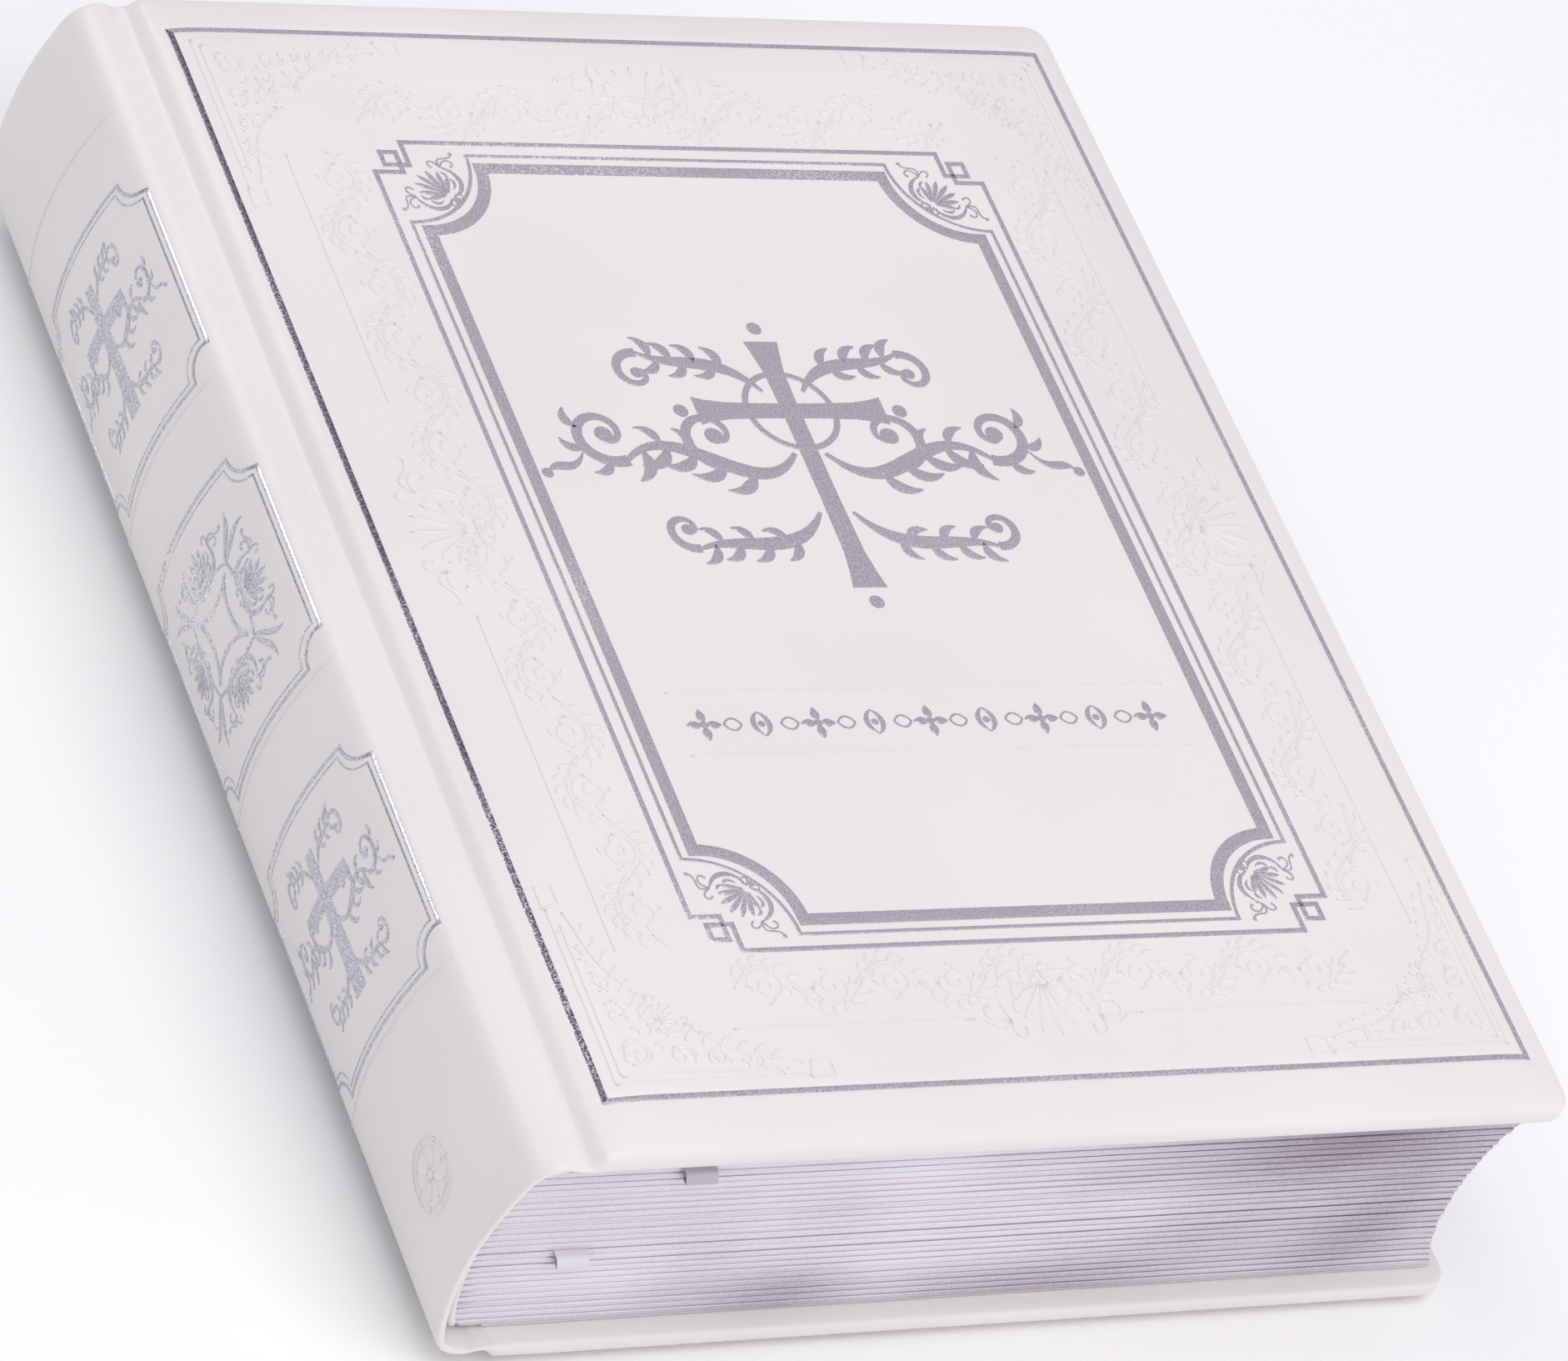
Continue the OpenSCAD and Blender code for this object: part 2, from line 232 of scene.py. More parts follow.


# Painted reflections: soft lighter and darker patches painted on the silver of the tail edge, in the row
# frame:
# X, Z, reach along X, reach along Z, and how much lighter
PAINTED_EDGE_REFLECTIONS = [(-0.036, 0.011, 0.026, 0.013, -0.11), (0.006, 0.009, 0.055, 0.013, -0.13),
                (0.076, 0.048, 0.042, 0.022, -0.13), (0.088, 0.018, 0.026, 0.026, -0.12),
                (-0.036, 0.037, 0.018, 0.014, -0.05), (-0.023, 0.048, 0.022, 0.012, 0.05),
                (0.034, 0.031, 0.036, 0.013, 0.09), (-0.078, 0.022, 0.026, 0.016, 0.06)]


def make_page_edge(name, tones, paler_at_spine=0.0):
    n = Nodes(name)
    lines = n.noise(1, 3, 0.65, (18, 18, 5200))
    fine = n.noise(1, 2, 0.6, (60, 60, 16000))
    blotch = n.noise(13, 2, 0.5, (-1, 1, 0.8))
    grain = n.noise(2200, 2, 0.7)
    place = n.node("SeparateXYZ")
    n.link(n.coords, place.inputs[0])
    # painted shade: the silver is darker towards the fore-edge and the top
    painted_shade_upper_fore = n.math("MULTIPLY", n.grey(place.outputs["X"], 0, 1, 0.03, 0.11),
                        n.grey(place.outputs["Z"], 0, 1, 0.005, 0.06))
    mix = n.math("ADD", n.math("MULTIPLY", lines, 0.12), n.math("MULTIPLY", blotch, 0.42))
    mix = n.math("ADD", mix, n.math("MULTIPLY", grain, 0.20))
    mix = n.math("ADD", mix, 0.13)
    mix = n.math("SUBTRACT", mix, n.math("MULTIPLY", painted_shade_upper_fore, 0.16))
    # lighter towards the spine; on the notch faces this makes the painted shade fainter there
    mix = n.math("ADD", mix, n.grey(place.outputs["X"], paler_at_spine, 0, -0.10, 0.02))
    # painted reflections: lighter and darker patches, kept to the tail edge
    on_tail = n.grey(place.outputs["Y"], 1, 0, -0.13, -0.10)
    for x, z, reach_x, reach_z, lighter in PAINTED_EDGE_REFLECTIONS:
        near = n.node("Mapping", Location=(-x / reach_x, 0, -z / reach_z),
                      Scale=(1 / reach_x, 0, 1 / reach_z))
        n.link(n.coords, near.inputs["Vector"])
        away = n.node("VectorMath", operation="LENGTH")
        n.link(near.outputs["Vector"], away.inputs[0])
        patch = n.grey(away.outputs["Value"], lighter, 0, 0, 1, "SMOOTHSTEP")
        mix = n.math("ADD", mix, n.math("MULTIPLY", patch, on_tail))
    tone = n.ramp(mix, list(zip((0.27, 0.39, 0.51, 0.69), tones)))
    normal = n.bump(lines, 0.00008, 0.5)
    normal = n.bump(fine, 0.00005, 0.4, normal)
    normal = n.bump(grain, 0.00006, 0.5, normal)
    return n.finish(tone, n.grey(fine, 0.34, 0.55), normal, 0.4)


def paper(name, colour, warm=0.02):
    n = Nodes(name)
    dark = tuple(max(c - warm * k, 0) for c, k in zip(colour, (1.2, 1.6, 2.2)))
    tone = n.ramp(n.noise(90, 4, 0.6), [(0.35, dark), (0.65, colour)])
    normal = n.bump(n.noise(1, 3, 0.6, (1500, 900, 1500)), 0.00004, 0.4)
    return n.finish(tone, n.grey(n.noise(400, 2), 0.72, 0.88), normal)


def woven(name, colour, pitch, depth, roughness, sheen=0.3):
    """Cloth with a thread every pitch, in millimetres."""
    n = Nodes(name)
    scale = 0.314 / (pitch * MM)  # at scale 1 a wave texture has a band every 0.314 m
    warp = n.wave(scale, "X")
    weft = n.wave(scale * 1.1, "Z")
    other = n.wave(scale * 1.1, "Y")
    weave = n.math("MAXIMUM", warp, n.math("MULTIPLY", n.math("ADD", weft, other), 0.45))
    dark = tuple(c * 0.82 for c in colour)
    tone = n.ramp(weave, [(0.1, dark), (0.8, colour)])
    normal = n.bump(weave, depth * MM, 0.7)
    normal = n.bump(n.noise(1800, 2), 0.00003, 0.4, normal)
    return n.finish(tone, roughness, normal, Sheen_Weight=sheen, Sheen_Roughness=0.4)


def make_cardboard(name, colour):
    n = Nodes(name)
    tone = n.ramp(n.noise(260, 5, 0.7), [(0.3, tuple(c * 0.8 for c in colour)), (0.7, colour)])
    normal = n.bump(n.noise(1, 4, 0.7, (500, 180, 500)), 0.00012, 0.6)
    return n.finish(tone, n.grey(n.noise(150, 2), 0.8, 0.95), normal)


# Dark, middle and bright tones of each foil, and of the silvered page edges
FOIL_TONES = ((0.42, 0.365, 0.43), (0.60, 0.535, 0.605), (0.74, 0.70, 0.75))
SPINE_FOIL_TONES = ((0.30, 0.29, 0.34), (0.50, 0.49, 0.55), (0.85, 0.84, 0.88))
# darker foil tones: painted dark reflection for the foil line beside the groove
DARK_REFLECTION_FOIL_TONES = ((0.06, 0.05, 0.07), (0.20, 0.18, 0.22), (0.62, 0.58, 0.66))
EDGE_TONES = ((0.36, 0.30, 0.38), (0.60, 0.55, 0.63), (0.76, 0.73, 0.79), (0.90, 0.89, 0.94))
# darker tones of the silver in the notches between sections: painted shade
NOTCH_SHADE_TONES = ((0.20, 0.165, 0.22), (0.35, 0.31, 0.38), (0.54, 0.51, 0.57), (0.74, 0.72, 0.78))

LEATHER = make_leather()
FOIL = make_foil("silver_foil", FOIL_TONES, 0.6)
SPINE_FOIL = make_foil("silver_foil_spine", SPINE_FOIL_TONES, 0.85)
DARK_REFLECTION_FOIL = make_foil("silver_foil_painted_dark_reflection", DARK_REFLECTION_FOIL_TONES, 0.8)
EDGE = make_page_edge("silvered_page_edges", EDGE_TONES)
NOTCH_SHADE_EDGE = make_page_edge("silvered_edges_painted_notch_shade", NOTCH_SHADE_TONES, 0.17)
PAGE = paper("page_paper", (0.84, 0.825, 0.80))
ENDPAPER = paper("endpaper", (0.86, 0.85, 0.84), 0.012)
SATIN = woven("ribbon_satin", (0.54, 0.50, 0.58), 0.42, 0.08, 0.4, 0.1)
# lighter copy of the ribbon satin: painted light for the lower ribbon, which catches more light
SATIN_PAINTED_LIGHT = woven("ribbon_satin_painted_light", (0.80, 0.78, 0.83), 0.42, 0.08, 0.4, 0.1)
BAND = woven("band_thread", (0.84, 0.83, 0.82), 0.28, 0.05, 0.6)
MULL = woven("mull_gauze", (0.80, 0.78, 0.72), 0.9, 0.15, 0.85)
GREYBOARD = make_cardboard("greyboard", (0.42, 0.39, 0.35))
KRAFT = make_cardboard("kraft_lining", (0.52, 0.40, 0.27))


def make_floor_material():
    n = Nodes("studio_floor")
    tone = n.ramp(n.noise(3, 2), [(0.3, (0.95, 0.95, 0.955)), (0.7, (0.975, 0.975, 0.975))])
    return n.finish(tone, 0.85)


# ---------- mesh helpers ----------


def row(points):
    """Millimetres from the outermost spine to metres in the row frame."""
    return (np.asarray(points, float).reshape(-1, 3) - [BOOK_W / 2, 0, 0]) * MM


def grid_faces(rows, cols, first=0, close=False):
    """Quads of a grid of points stored row by row; close joins the last column to the first."""
    i = np.arange(rows - 1)[:, None]
    j = np.arange(cols if close else cols - 1)[None, :]
    right = (j + 1) % cols
    quads = np.stack([i * cols + j, i * cols + right, (i + 1) * cols + right, (i + 1) * cols + j], -1)
    return (quads.reshape(-1, 4) + first).tolist()


def joined(before, after):
    """Quads between two rows of point numbers."""
    return np.stack([before[:-1], before[1:], after[1:], after[:-1]], 1).tolist()


def tube_faces(rings, sides, close=True):
    """Faces of a tube or a strip stored ring by ring, with its two ends."""
    last = (rings - 1) * sides
    ends = [list(range(sides)), list(range(last, last + sides))[::-1]]
    return grid_faces(rings, sides, close=close) + ends


def unit_rows(vectors):
    return vectors / (np.linalg.norm(vectors, axis=1)[:, None] + 1e-12)


def running_length(path):
    """Length of a path from its start to each of its points."""
    return np.concatenate([[0], np.cumsum(np.linalg.norm(np.diff(path, axis=0), axis=1))])


class Build:
    """Collects points and faces of one piece."""

    def __init__(self):
        self.points, self.faces, self.slots, self.count = [], [], [], 0

    def add(self, points, faces, slot=0):
        """slot is the material slot of all the faces, or a list with one for each."""
        points = np.asarray(points, float).reshape(-1, 3)
        self.points.append(points)
        self.faces += [[int(v) + self.count for v in face] for face in faces]
        self.slots += [slot] * len(faces) if isinstance(slot, int) else slot
        self.count += len(points)

    def piece(self, name, *materials, sharp=None, outward=True):
        data = bpy.data.meshes.new(name)
        data.from_pydata(row(np.vstack(self.points)).tolist(), [], self.faces)
        for material in materials:
            data.materials.append(material)
        data.polygons.foreach_set("material_index", self.slots)
        data.polygons.foreach_set("use_smooth", [True] * len(self.faces))
        if outward:
            work = bmesh.new()
            work.from_mesh(data)
            bmesh.ops.remove_doubles(work, verts=work.verts, dist=2e-6)
            bmesh.ops.recalc_face_normals(work, faces=work.faces)
            work.to_mesh(data)
            work.free()
        if sharp is not None:
            data.set_sharp_from_angle(angle=math.radians(sharp))
        made = bpy.data.objects.new(name, data)
        bpy.context.collection.objects.link(made)
        return made


def simple_piece(name, points, faces, *materials, slots=0, sharp=None):
    build = Build()
    build.add(points, faces, slots)
    return build.piece(name, *materials, sharp=sharp)


def attach(made, body, slot, *nodes):
    """Puts a piece on one body and hides the CAD nodes it stands for; slot is not used."""
    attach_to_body(made, body)
    if nodes:
        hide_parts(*nodes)


def bend(made, body, next_body, start, end, slot, *nodes):
    """Bakes a piece's placement into its mesh and hides the CAD nodes; body, next_body, start, end and slot
    are not used.
    """
    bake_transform(made)
    if nodes:
        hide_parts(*nodes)


def smoothstep(value, low, high):
    t = np.clip((np.asarray(value, float) - low) / (high - low), 0, 1)
    return t * t * (3 - 2 * t)


def curve_through(points, step):
    """Smooth curve through points of any dimension, with a point about every step."""
    points = np.asarray(points, float)
    padded = np.vstack([2 * points[0] - points[1], points, 2 * points[-1] - points[-2]])
    out = []
    for i in range(1, len(padded) - 2):
        a, b, c, d = padded[i - 1:i + 3]
        count = max(2, int(np.linalg.norm(c - b) / step))
        t = (np.arange(count) / count)[:, None]
        out.append(0.5 * (2 * b + (c - a) * t + (2 * a - 5 * b + 4 * c - d) * t ** 2
                          + (3 * b - a - 3 * c + d) * t ** 3))
    out.append(points[-1:])
    return np.vstack(out)


# ---------- profiles of the case ----------

def back_profile(left, half, crown, shoulder, step=1.1):
    """Rounded back in X and Z from its lower shoulder to its upper one."""
    rise = half - shoulder
    mid = left + crown - math.sqrt((crown - shoulder) ** 2 - rise ** 2)
    touch = math.asin(rise / (crown - shoulder))
    count = max(3, int(shoulder * (math.pi / 2 - touch) / (step * 0.6)))
    arc = np.linspace(math.pi / 2, touch, count)
    upper = np.stack([mid - shoulder * np.cos(arc), MID_Z + rise + shoulder * np.sin(arc)], 1)
    lower = np.stack([upper[:, 0], 2 * MID_Z - upper[:, 1]], 1)
    count = int(2 * crown * touch / step)
    turn = np.linspace(-touch, touch, count)[1:-1]
    middle = np.stack([left + crown - crown * np.cos(turn), MID_Z + crown * np.sin(turn)], 1)
    return np.vstack([lower, middle, upper[::-1]])


SHELL = back_profile(left=0, half=27.5, crown=75.0, shoulder=7.0)
# From the spine's upper shoulder into the middle of the groove
GROOVE_CURVE = curve_through([(10.16, 59.0), (10.9, 58.88), (11.6, 58.6), (12.3, 58.28), (12.95, 58.08),
                              (13.55, 58.02)], 0.45)
# From the middle of the groove up the padded side of the front cover to its flat top
RISE_CURVE = curve_through([(13.55, 58.02), (14.1, 58.08), (14.8, 58.45), (15.6, 59.25), (16.6, 60.3),
                            (17.8, 61.25), (19.4, 61.95), (21.4, 62.4), (24.2, 62.75), (28.0, 62.94),
                            (33.0, 63.0)], 0.5)
RISE_END = 32.5  # beyond this the top counts as flat
SEAM_Z = 9.4  # height of the seam between the spine's leather and the back cover's
LOWER_SHELL = SHELL[:len(SHELL) // 2]
SEAM = [np.interp(SEAM_Z, LOWER_SHELL[:, 1], LOWER_SHELL[:, 0]), SEAM_Z]

# How far the padding has fallen away at each distance from the head, the tail and the fore-edge
RIM_DISTANCE = [0, 1.2, 2.5, 4, 6, 8, 11, 15, 21]
RIM_DROP = [2.4, 1.75, 1.38, 1.05, 0.76, 0.53, 0.30, 0.10, 0]
DROP_FROM, DROP_OVER = 60.95, 2.05  # the fall fades out below this height, over this much

FILLET = (20.4, 217.6, -130.0, 131.8)  # left, right, tail and head of the foil line's middle
DENT, DENT_REACH = 0.22, 0.9  # the foil line is pressed this deep into the padding
TRAY, TRAY_REACH = 0.10, 8  # and the padding outside it stands a little lower
UNDULATION = 0.05


def rim_drop(x, y):
    """How far the padding falls away towards the head, the tail and the fore-edge."""
    ends = np.interp(HALF_H - np.abs(y), RIM_DISTANCE, RIM_DROP)
    fore = np.interp(BOOK_W - x, RIM_DISTANCE, RIM_DROP)
    return (ends ** 4 + fore ** 4) ** 0.25


def top_z(x, y, dent=True):
    """Height of the front cover's outside, with or without the dent of the foil line."""
    x, y = np.asarray(x, float), np.asarray(y, float)
    base = np.interp(x, RISE_CURVE[:, 0], RISE_CURVE[:, 1])
    body = smoothstep(x, 13.2, 19)
    z = base - rim_drop(x, y) * np.clip((base - DROP_FROM) / DROP_OVER, 0, 1)
    if dent:
        left, right, tail, head = FILLET
        inside = (x > left - 2) & (x < right + 2) & (y > tail - 2) & (y < head + 2)
        near = np.minimum(np.minimum(abs(x - left), abs(x - right)),
                          np.minimum(abs(y - tail), abs(y - head)))
        within = smoothstep(x, left, left + TRAY_REACH) * smoothstep(-x, -right, -right + TRAY_REACH)
        within = within * smoothstep(y, tail, tail + TRAY_REACH) * smoothstep(-y, -head, -head + TRAY_REACH)
        z = z - DENT * np.exp(-(near / DENT_REACH) ** 2) * inside - TRAY * (1 - within) * body
    wave = np.sin(x / 23 + 0.6 * np.sin(y / 31)) * np.cos(y / 27 + 0.4)
    return z + UNDULATION * (wave - 1) * body


# ---------- leather ----------

# Each ring round the edge of the leather: how far in from the outline, and how deep below the outside.
BOARD_RING = [(1.2, 0.0), (0.62, 0.42), (0.25, 0.95), (0.05, 1.7), (0.0, 2.6), (0.05, 3.3), (0.3, 3.75),
              (0.9, 4.0), (2.0, 4.05), (14.0, 4.05)]
SHELL_RING = [(0.85, 0.0), (0.45, 0.07), (0.18, 0.25), (0.04, 0.5), (0.0, 0.8), (0.04, 1.1), (0.18, 1.35),
              (0.45, 1.53), (0.9, 1.6), (12.0, 1.6)]
GROOVE_THINNING = ([10, 12.2, 14], [1.0, 0.45, 0.45])  # at these X, the share of the edge's depth
COVER_CORNER = 5.0
INNER_CORNER = 0.4
NEAR_LINE = (0.35, 0.7, 1.1, 1.6, 2.2)  # where rows are added beside the foil line
LEAST_ROW = 0.22


def across(limit, fine_at):
    """Places from -1 to 1 along Y, closer together at the ends and near the given places."""
    places = list(np.linspace(-0.9, 0.9, 121))
    places += list(np.linspace(0.9, 1, 22)) + list(np.linspace(-1, -0.9, 22))
    for at in fine_at:
        places += [(at + k) / limit for k in (0, *NEAR_LINE, *(-k for k in NEAR_LINE))]
    places = sorted(places)
    kept = [places[0]]
    for place in places[1:]:
        if (place - kept[-1]) * limit > LEAST_ROW:
            kept.append(place)
    kept[-1] = 1.0
    return np.array(kept)


def profile_inward(tangent):
    """Normals of a profile in X and Z that point into the book."""
    return np.stack([tangent[:, 1], -tangent[:, 0]], 1)


def outline(total, cols, arc):
    """Follows the edge of a grid from the spine along the tail, up the fore-edge and back along the
    head. Gives the point numbers, the outward directions and each point's station along X. The last
    stations are on the corner arcs, at the angles of arc."""
    turn = np.concatenate([np.zeros(total - len(arc)), arc])
    along = np.arange(total)
    loop = np.concatenate([along * cols, (total - 1) * cols + np.arange(1, cols - 1),
                           along[::-1] * cols + cols - 1])
    tail_out = np.stack([np.sin(turn), -np.cos(turn)], 1)
    out = np.vstack([tail_out, np.tile((1.0, 0.0), (cols - 2, 1)), (tail_out * (1, -1))[::-1]])
    station = np.concatenate([along, np.full(cols - 2, total - 1), along[::-1]])
    return loop, out, station


def keep_small_corner(level, base, out, inset):
    """Further in than the cover's corner radius, the turned-in leather keeps a small one of its own."""
    limit_x, limit_y = BOOK_W - inset - INNER_CORNER, HALF_H - inset - INNER_CORNER
    on_arc = (np.abs(out[:, 0]) > 0.001) & (np.abs(out[:, 1]) > 0.001)
    on_fore = out[:, 0] > 0.5
    x = np.where(on_fore, limit_x + INNER_CORNER, np.minimum(level[:, 0], limit_x))
    y = np.where(on_fore, np.clip(level[:, 1], -limit_y, limit_y), level[:, 1])
    arc_y = np.sign(base[:, 1]) * (limit_y + INNER_CORNER * np.abs(out[:, 1]))
    level[:, 0] = np.where(on_arc, limit_x + INNER_CORNER * out[:, 0], x)
    level[:, 1] = np.where(on_arc, arc_y, y)


def add_levels(points, faces, edge, levels):
    """Joins the levels to each other and to the edge, which is a row of point numbers."""
    before, first = edge, sum(map(len, points))
    for level in levels:
        points.append(level)
        after = first + np.arange(len(edge))
        faces.extend(joined(before, after))
        before = after
        first += len(edge)


def cover_leather(name, curl, mirrored):
    """One cover's leather, with its turned-in rim. curl is the profile that leads up to the middle of
    the groove. The back cover's is mirrored, and has no foil line."""
    curl = np.asarray(curl, float).reshape(-1, 2)
    right = BOOK_W - COVER_CORNER
    rise = RISE_CURVE[RISE_CURVE[:, 0] < RISE_END]
    flat = list(np.linspace(33, 206, 88)) + list(np.linspace(206.8, right, 20))
    flat += [FILLET[1] + k for k in (-2, -1.4, -0.9, -0.45, 0, 0.45, 0.9, 1.4, 2)]
    flat = [v for v in sorted(flat) if v <= right]
    arc = np.radians(np.linspace(0, 90, 9)[1:])
    arc_r = COVER_CORNER - BOARD_RING[0][0]
    x = np.concatenate([curl[:, 0], rise[:, 0], flat, right + arc_r * np.sin(arc)])
    z = np.concatenate([curl[:, 1], rise[:, 1], np.full(len(flat) + len(arc), BOOK_T)])
    lead, total = len(curl), len(x)
    tangent = np.gradient(np.stack([x, z], 1), axis=0)
    tangent[lead + len(rise):] = (1, 0)
    # body is 1 where the leather wraps the board and 0 where it is a sheet over the groove
    body = smoothstep(x, 13.7, 17.0)
    body[:lead] = 0
    on_board = body[:, None]
    inward = profile_inward(unit_rows(tangent)) * (1 - on_board) + np.array([0, -1]) * on_board
    inward = unit_rows(inward)
    thinning = np.stack([np.ones(total), np.interp(x, *GROOVE_THINNING)], 1)[:, None, :]
    shell_ring = np.array(SHELL_RING) * thinning
    ring = np.array(BOARD_RING) * on_board[:, None] + shell_ring * (1 - on_board[:, None])
    end = HALF_H - ring[:, 0, 0]
    end[total - len(arc):] = HALF_H - COVER_CORNER + arc_r * np.cos(arc)

    places = across(HALF_H, (FILLET[2], FILLET[3]))
    cols = len(places)
    grid = np.zeros((total, cols, 3))
    grid[:, :, 0] = x[:, None]
    grid[:, :, 1] = places * end[:, None]
    grid[:lead, :, 2] = z[:lead, None]
    grid[lead:, :, 2] = top_z(grid[lead:, :, 0], grid[lead:, :, 1], not mirrored)
    points = [grid.reshape(-1, 3)]
    faces = grid_faces(total, cols)

    loop, out, station = outline(total, cols, arc)
    base = points[0][loop]
    levels = []
    for step in range(1, ring.shape[1]):
        grow = ring[station, 0, 0] - ring[station, step, 0]
        depth = ring[station, step, 1]
        level = base.copy()
        level[:, 0] += out[:, 0] * grow + inward[station, 0] * depth
        level[:, 1] += out[:, 1] * grow
        level[:, 2] += inward[station, 1] * depth
        inset = ring[total - 1, step, 0]
        if inset > COVER_CORNER - INNER_CORNER:
            keep_small_corner(level, base, out, inset)
        # under the board the leather lies flat at one height
        flatten = body[station] * smoothstep(step, 3, 7)
        under = INNER_Z + 0.35 * (1 - smoothstep(step, 4, 7.5)) + (0.9 if step == 4 else 0)
        level[:, 2] = level[:, 2] * (1 - flatten) + under * flatten
        levels.append(level)
    add_levels(points, faces, loop, levels)
    points = np.vstack(points)
    if mirrored:
        points[:, 2] = BOOK_T - points[:, 2]
    return simple_piece(name, points, faces, LEATHER)


def spine_leather(name):
    """The spine's leather, from the seam low on the spine to the middle of the front groove."""
    arc = SHELL[SHELL[:, 1] > SEAM_Z + 0.3]
    profile = np.vstack([[SEAM], arc, GROOVE_CURVE[1:]])
    total = len(profile)
    inward = profile_inward(unit_rows(np.gradient(profile, axis=0)))
    thinning = np.interp(profile[:, 0], *GROOVE_THINNING)
    thinning[profile[:, 1] < 50] = 1
    inward = inward * thinning[:, None]
    places = np.linspace(-1, 1, 95)
    cols = len(places)
    inset_0 = SHELL_RING[0][0]
    grid = np.zeros((total, cols, 3))
    grid[:, :, ::2] = profile[:, None]
    grid[:, :, 1] = places * (HALF_H - inset_0)
    points = [grid.reshape(-1, 3)]
    faces = grid_faces(total, cols)
    for side, sign in ((0, -1), (cols - 1, 1)):
        edge = np.arange(total) * cols + side
        levels = [points[0][edge] + np.stack([inward[:, 0] * depth, np.full(total, sign * (inset_0 - inset)),
                                              inward[:, 1] * depth], 1)
                  for inset, depth in SHELL_RING[1:]]
        add_levels(points, faces, edge, levels)
    return simple_piece(name, np.vstack(points), faces, LEATHER)


front_leather = cover_leather("front_cover_leather", [], False)
bend(front_leather, "front_joint", "front_cover", (14.3, 0, 58.3), (18.6, 0, 58.3), "faux_leather",
     "front_cover_skin", "front_padding")

# The back cover's leather is built upside down: from the seam, round the lower shoulder, into the groove.
under_seam = LOWER_SHELL[LOWER_SHELL[:, 1] < SEAM_Z - 0.3]
back_curl = np.vstack([[SEAM], under_seam[::-1], GROOVE_CURVE[1:-1] * (1, -1) + (0, BOOK_T)])
back_curl[:, 1] = BOOK_T - back_curl[:, 1]
back_leather = cover_leather("back_cover_leather", back_curl, True)
bend(back_leather, "back_cover", "book_block", (12.6, 0, 5.0), (8.4, 0, 5.0), "faux_leather",
     "back_cover_skin", "back_padding", "back_joint_leather")

spine_skin = spine_leather("spine_skin")
bend(spine_skin, "book_block", "front_joint", (8.4, 0, 58.3), (12.4, 0, 58.3), "faux_leather",
     "spine_leather", "front_joint_leather")


# ---------- ornament ----------


def cover_surface(x, y, h):
    return np.stack([x, y, top_z(x, y) + h], -1)


SHELL_STEP = running_length(SHELL)
SHELL_STEP -= np.interp(MID_Z, SHELL[:, 1], SHELL_STEP)
SHELL_TANGENT = unit_rows(np.gradient(SHELL, axis=0))


def spine_surface(y, u, h):
    """On the spine, Y runs towards the head and u round the back towards the front cover."""
    x, z = (np.interp(u, SHELL_STEP, SHELL[:, k]) for k in (0, 1))
    tx, tz = (np.interp(u, SHELL_STEP, SHELL_TANGENT[:, k]) for k in (0, 1))
    return np.stack([x - tz * h, y, z + tx * h], -1)


# Cross-sections of a line: place across it from -1 to 1, and height above the surface
FLAT = [(-1, -0.3), (-1, 0.05), (-0.9, 0.08), (0.9, 0.08), (1, 0.05), (1, -0.3)]
RAISED = [(-1, -0.2), (-0.62, 0.15), (0, 0.27), (0.62, 0.15), (1, -0.2)]


def spread(path, widths, closed, step):
    """Adds points so that no stretch is longer than step."""
    path = np.asarray(path, float)
    widths = np.broadcast_to(np.asarray(widths, float), (len(path),)).copy()
    if closed:
        path = np.vstack([path, path[:1]])
        widths = np.append(widths, widths[0])
    out, wide = [], []
    for a, b, wa, wb in zip(path[:-1], path[1:], widths[:-1], widths[1:]):
        count = max(1, int(math.ceil(np.linalg.norm(b - a) / step)))
        t = np.arange(count) / count
        out.append(a + (b - a) * t[:, None])
        wide.append(wa + (wb - wa) * t)
    if not closed:
        out.append(path[-1:])
        wide.append(widths[-1:])
    return np.vstack(out), np.concatenate(wide)


class Ornament(Build):
    """Lines and dots that stand a little proud of a surface."""

    def __init__(self, surface, profile=FLAT):
        super().__init__()
        self.surface, self.profile = surface, profile

    def line(self, path, widths, closed=False, step=3.0, lift=0.0):
        """Line along a path, with mitred corners."""
        path, widths = spread(path, widths, closed, step)
        ahead = unit_rows(np.roll(path, -1, 0) - path)
        behind = np.roll(ahead, 1, 0)
        if not closed:
            ahead[-1] = ahead[-2]
            behind[0] = ahead[0]
        side = np.stack([-(ahead[:, 1] + behind[:, 1]), ahead[:, 0] + behind[:, 0]], 1)
        length = np.linalg.norm(side, axis=1)[:, None]
        side = side / np.maximum(length, 1e-6) / np.maximum(length / 2, 0.6) * widths[:, None] / 2
        points = np.stack([self.surface(*(path + side * t).T, h + lift) for t, h in self.profile], 1)
        n, m = points.shape[:2]
        if closed:
            faces = grid_faces(n, m) + joined((n - 1) * m + np.arange(m), np.arange(m))
        else:
            faces = tube_faces(n, m, close=False)
        self.add(points, faces)

    def dot(self, at, radius, height):
        """Domed spot."""
        count = 14
        turn = np.linspace(0, 2 * math.pi, count, endpoint=False)
        rings = [self.surface(at[0] + radius * share * np.cos(turn),
                              at[1] + radius * share * np.sin(turn), h)
                 for share, h in ((1.0, -0.25), (0.95, 0.45 * height), (0.6, 0.85 * height))]
        faces = grid_faces(3, count, close=True)
        faces += [[2 * count + j, 2 * count + (j + 1) % count, 3 * count] for j in range(count)]
        self.add(np.vstack([*rings, self.surface(*at, height)]), faces)

    def draw(self, items, step=2.0, thick=1.0, height=0.08):
        """Figure whose strokes lie at slightly different heights, so that they never share a face."""
        for order, (kind, path, size) in enumerate(items):
            if kind == "bead":
                self.dot(path[0], float(size) * thick, height + 0.04)
            else:
                self.line(path, np.asarray(size) * thick, step=step, lift=0.007 * (order % 7))


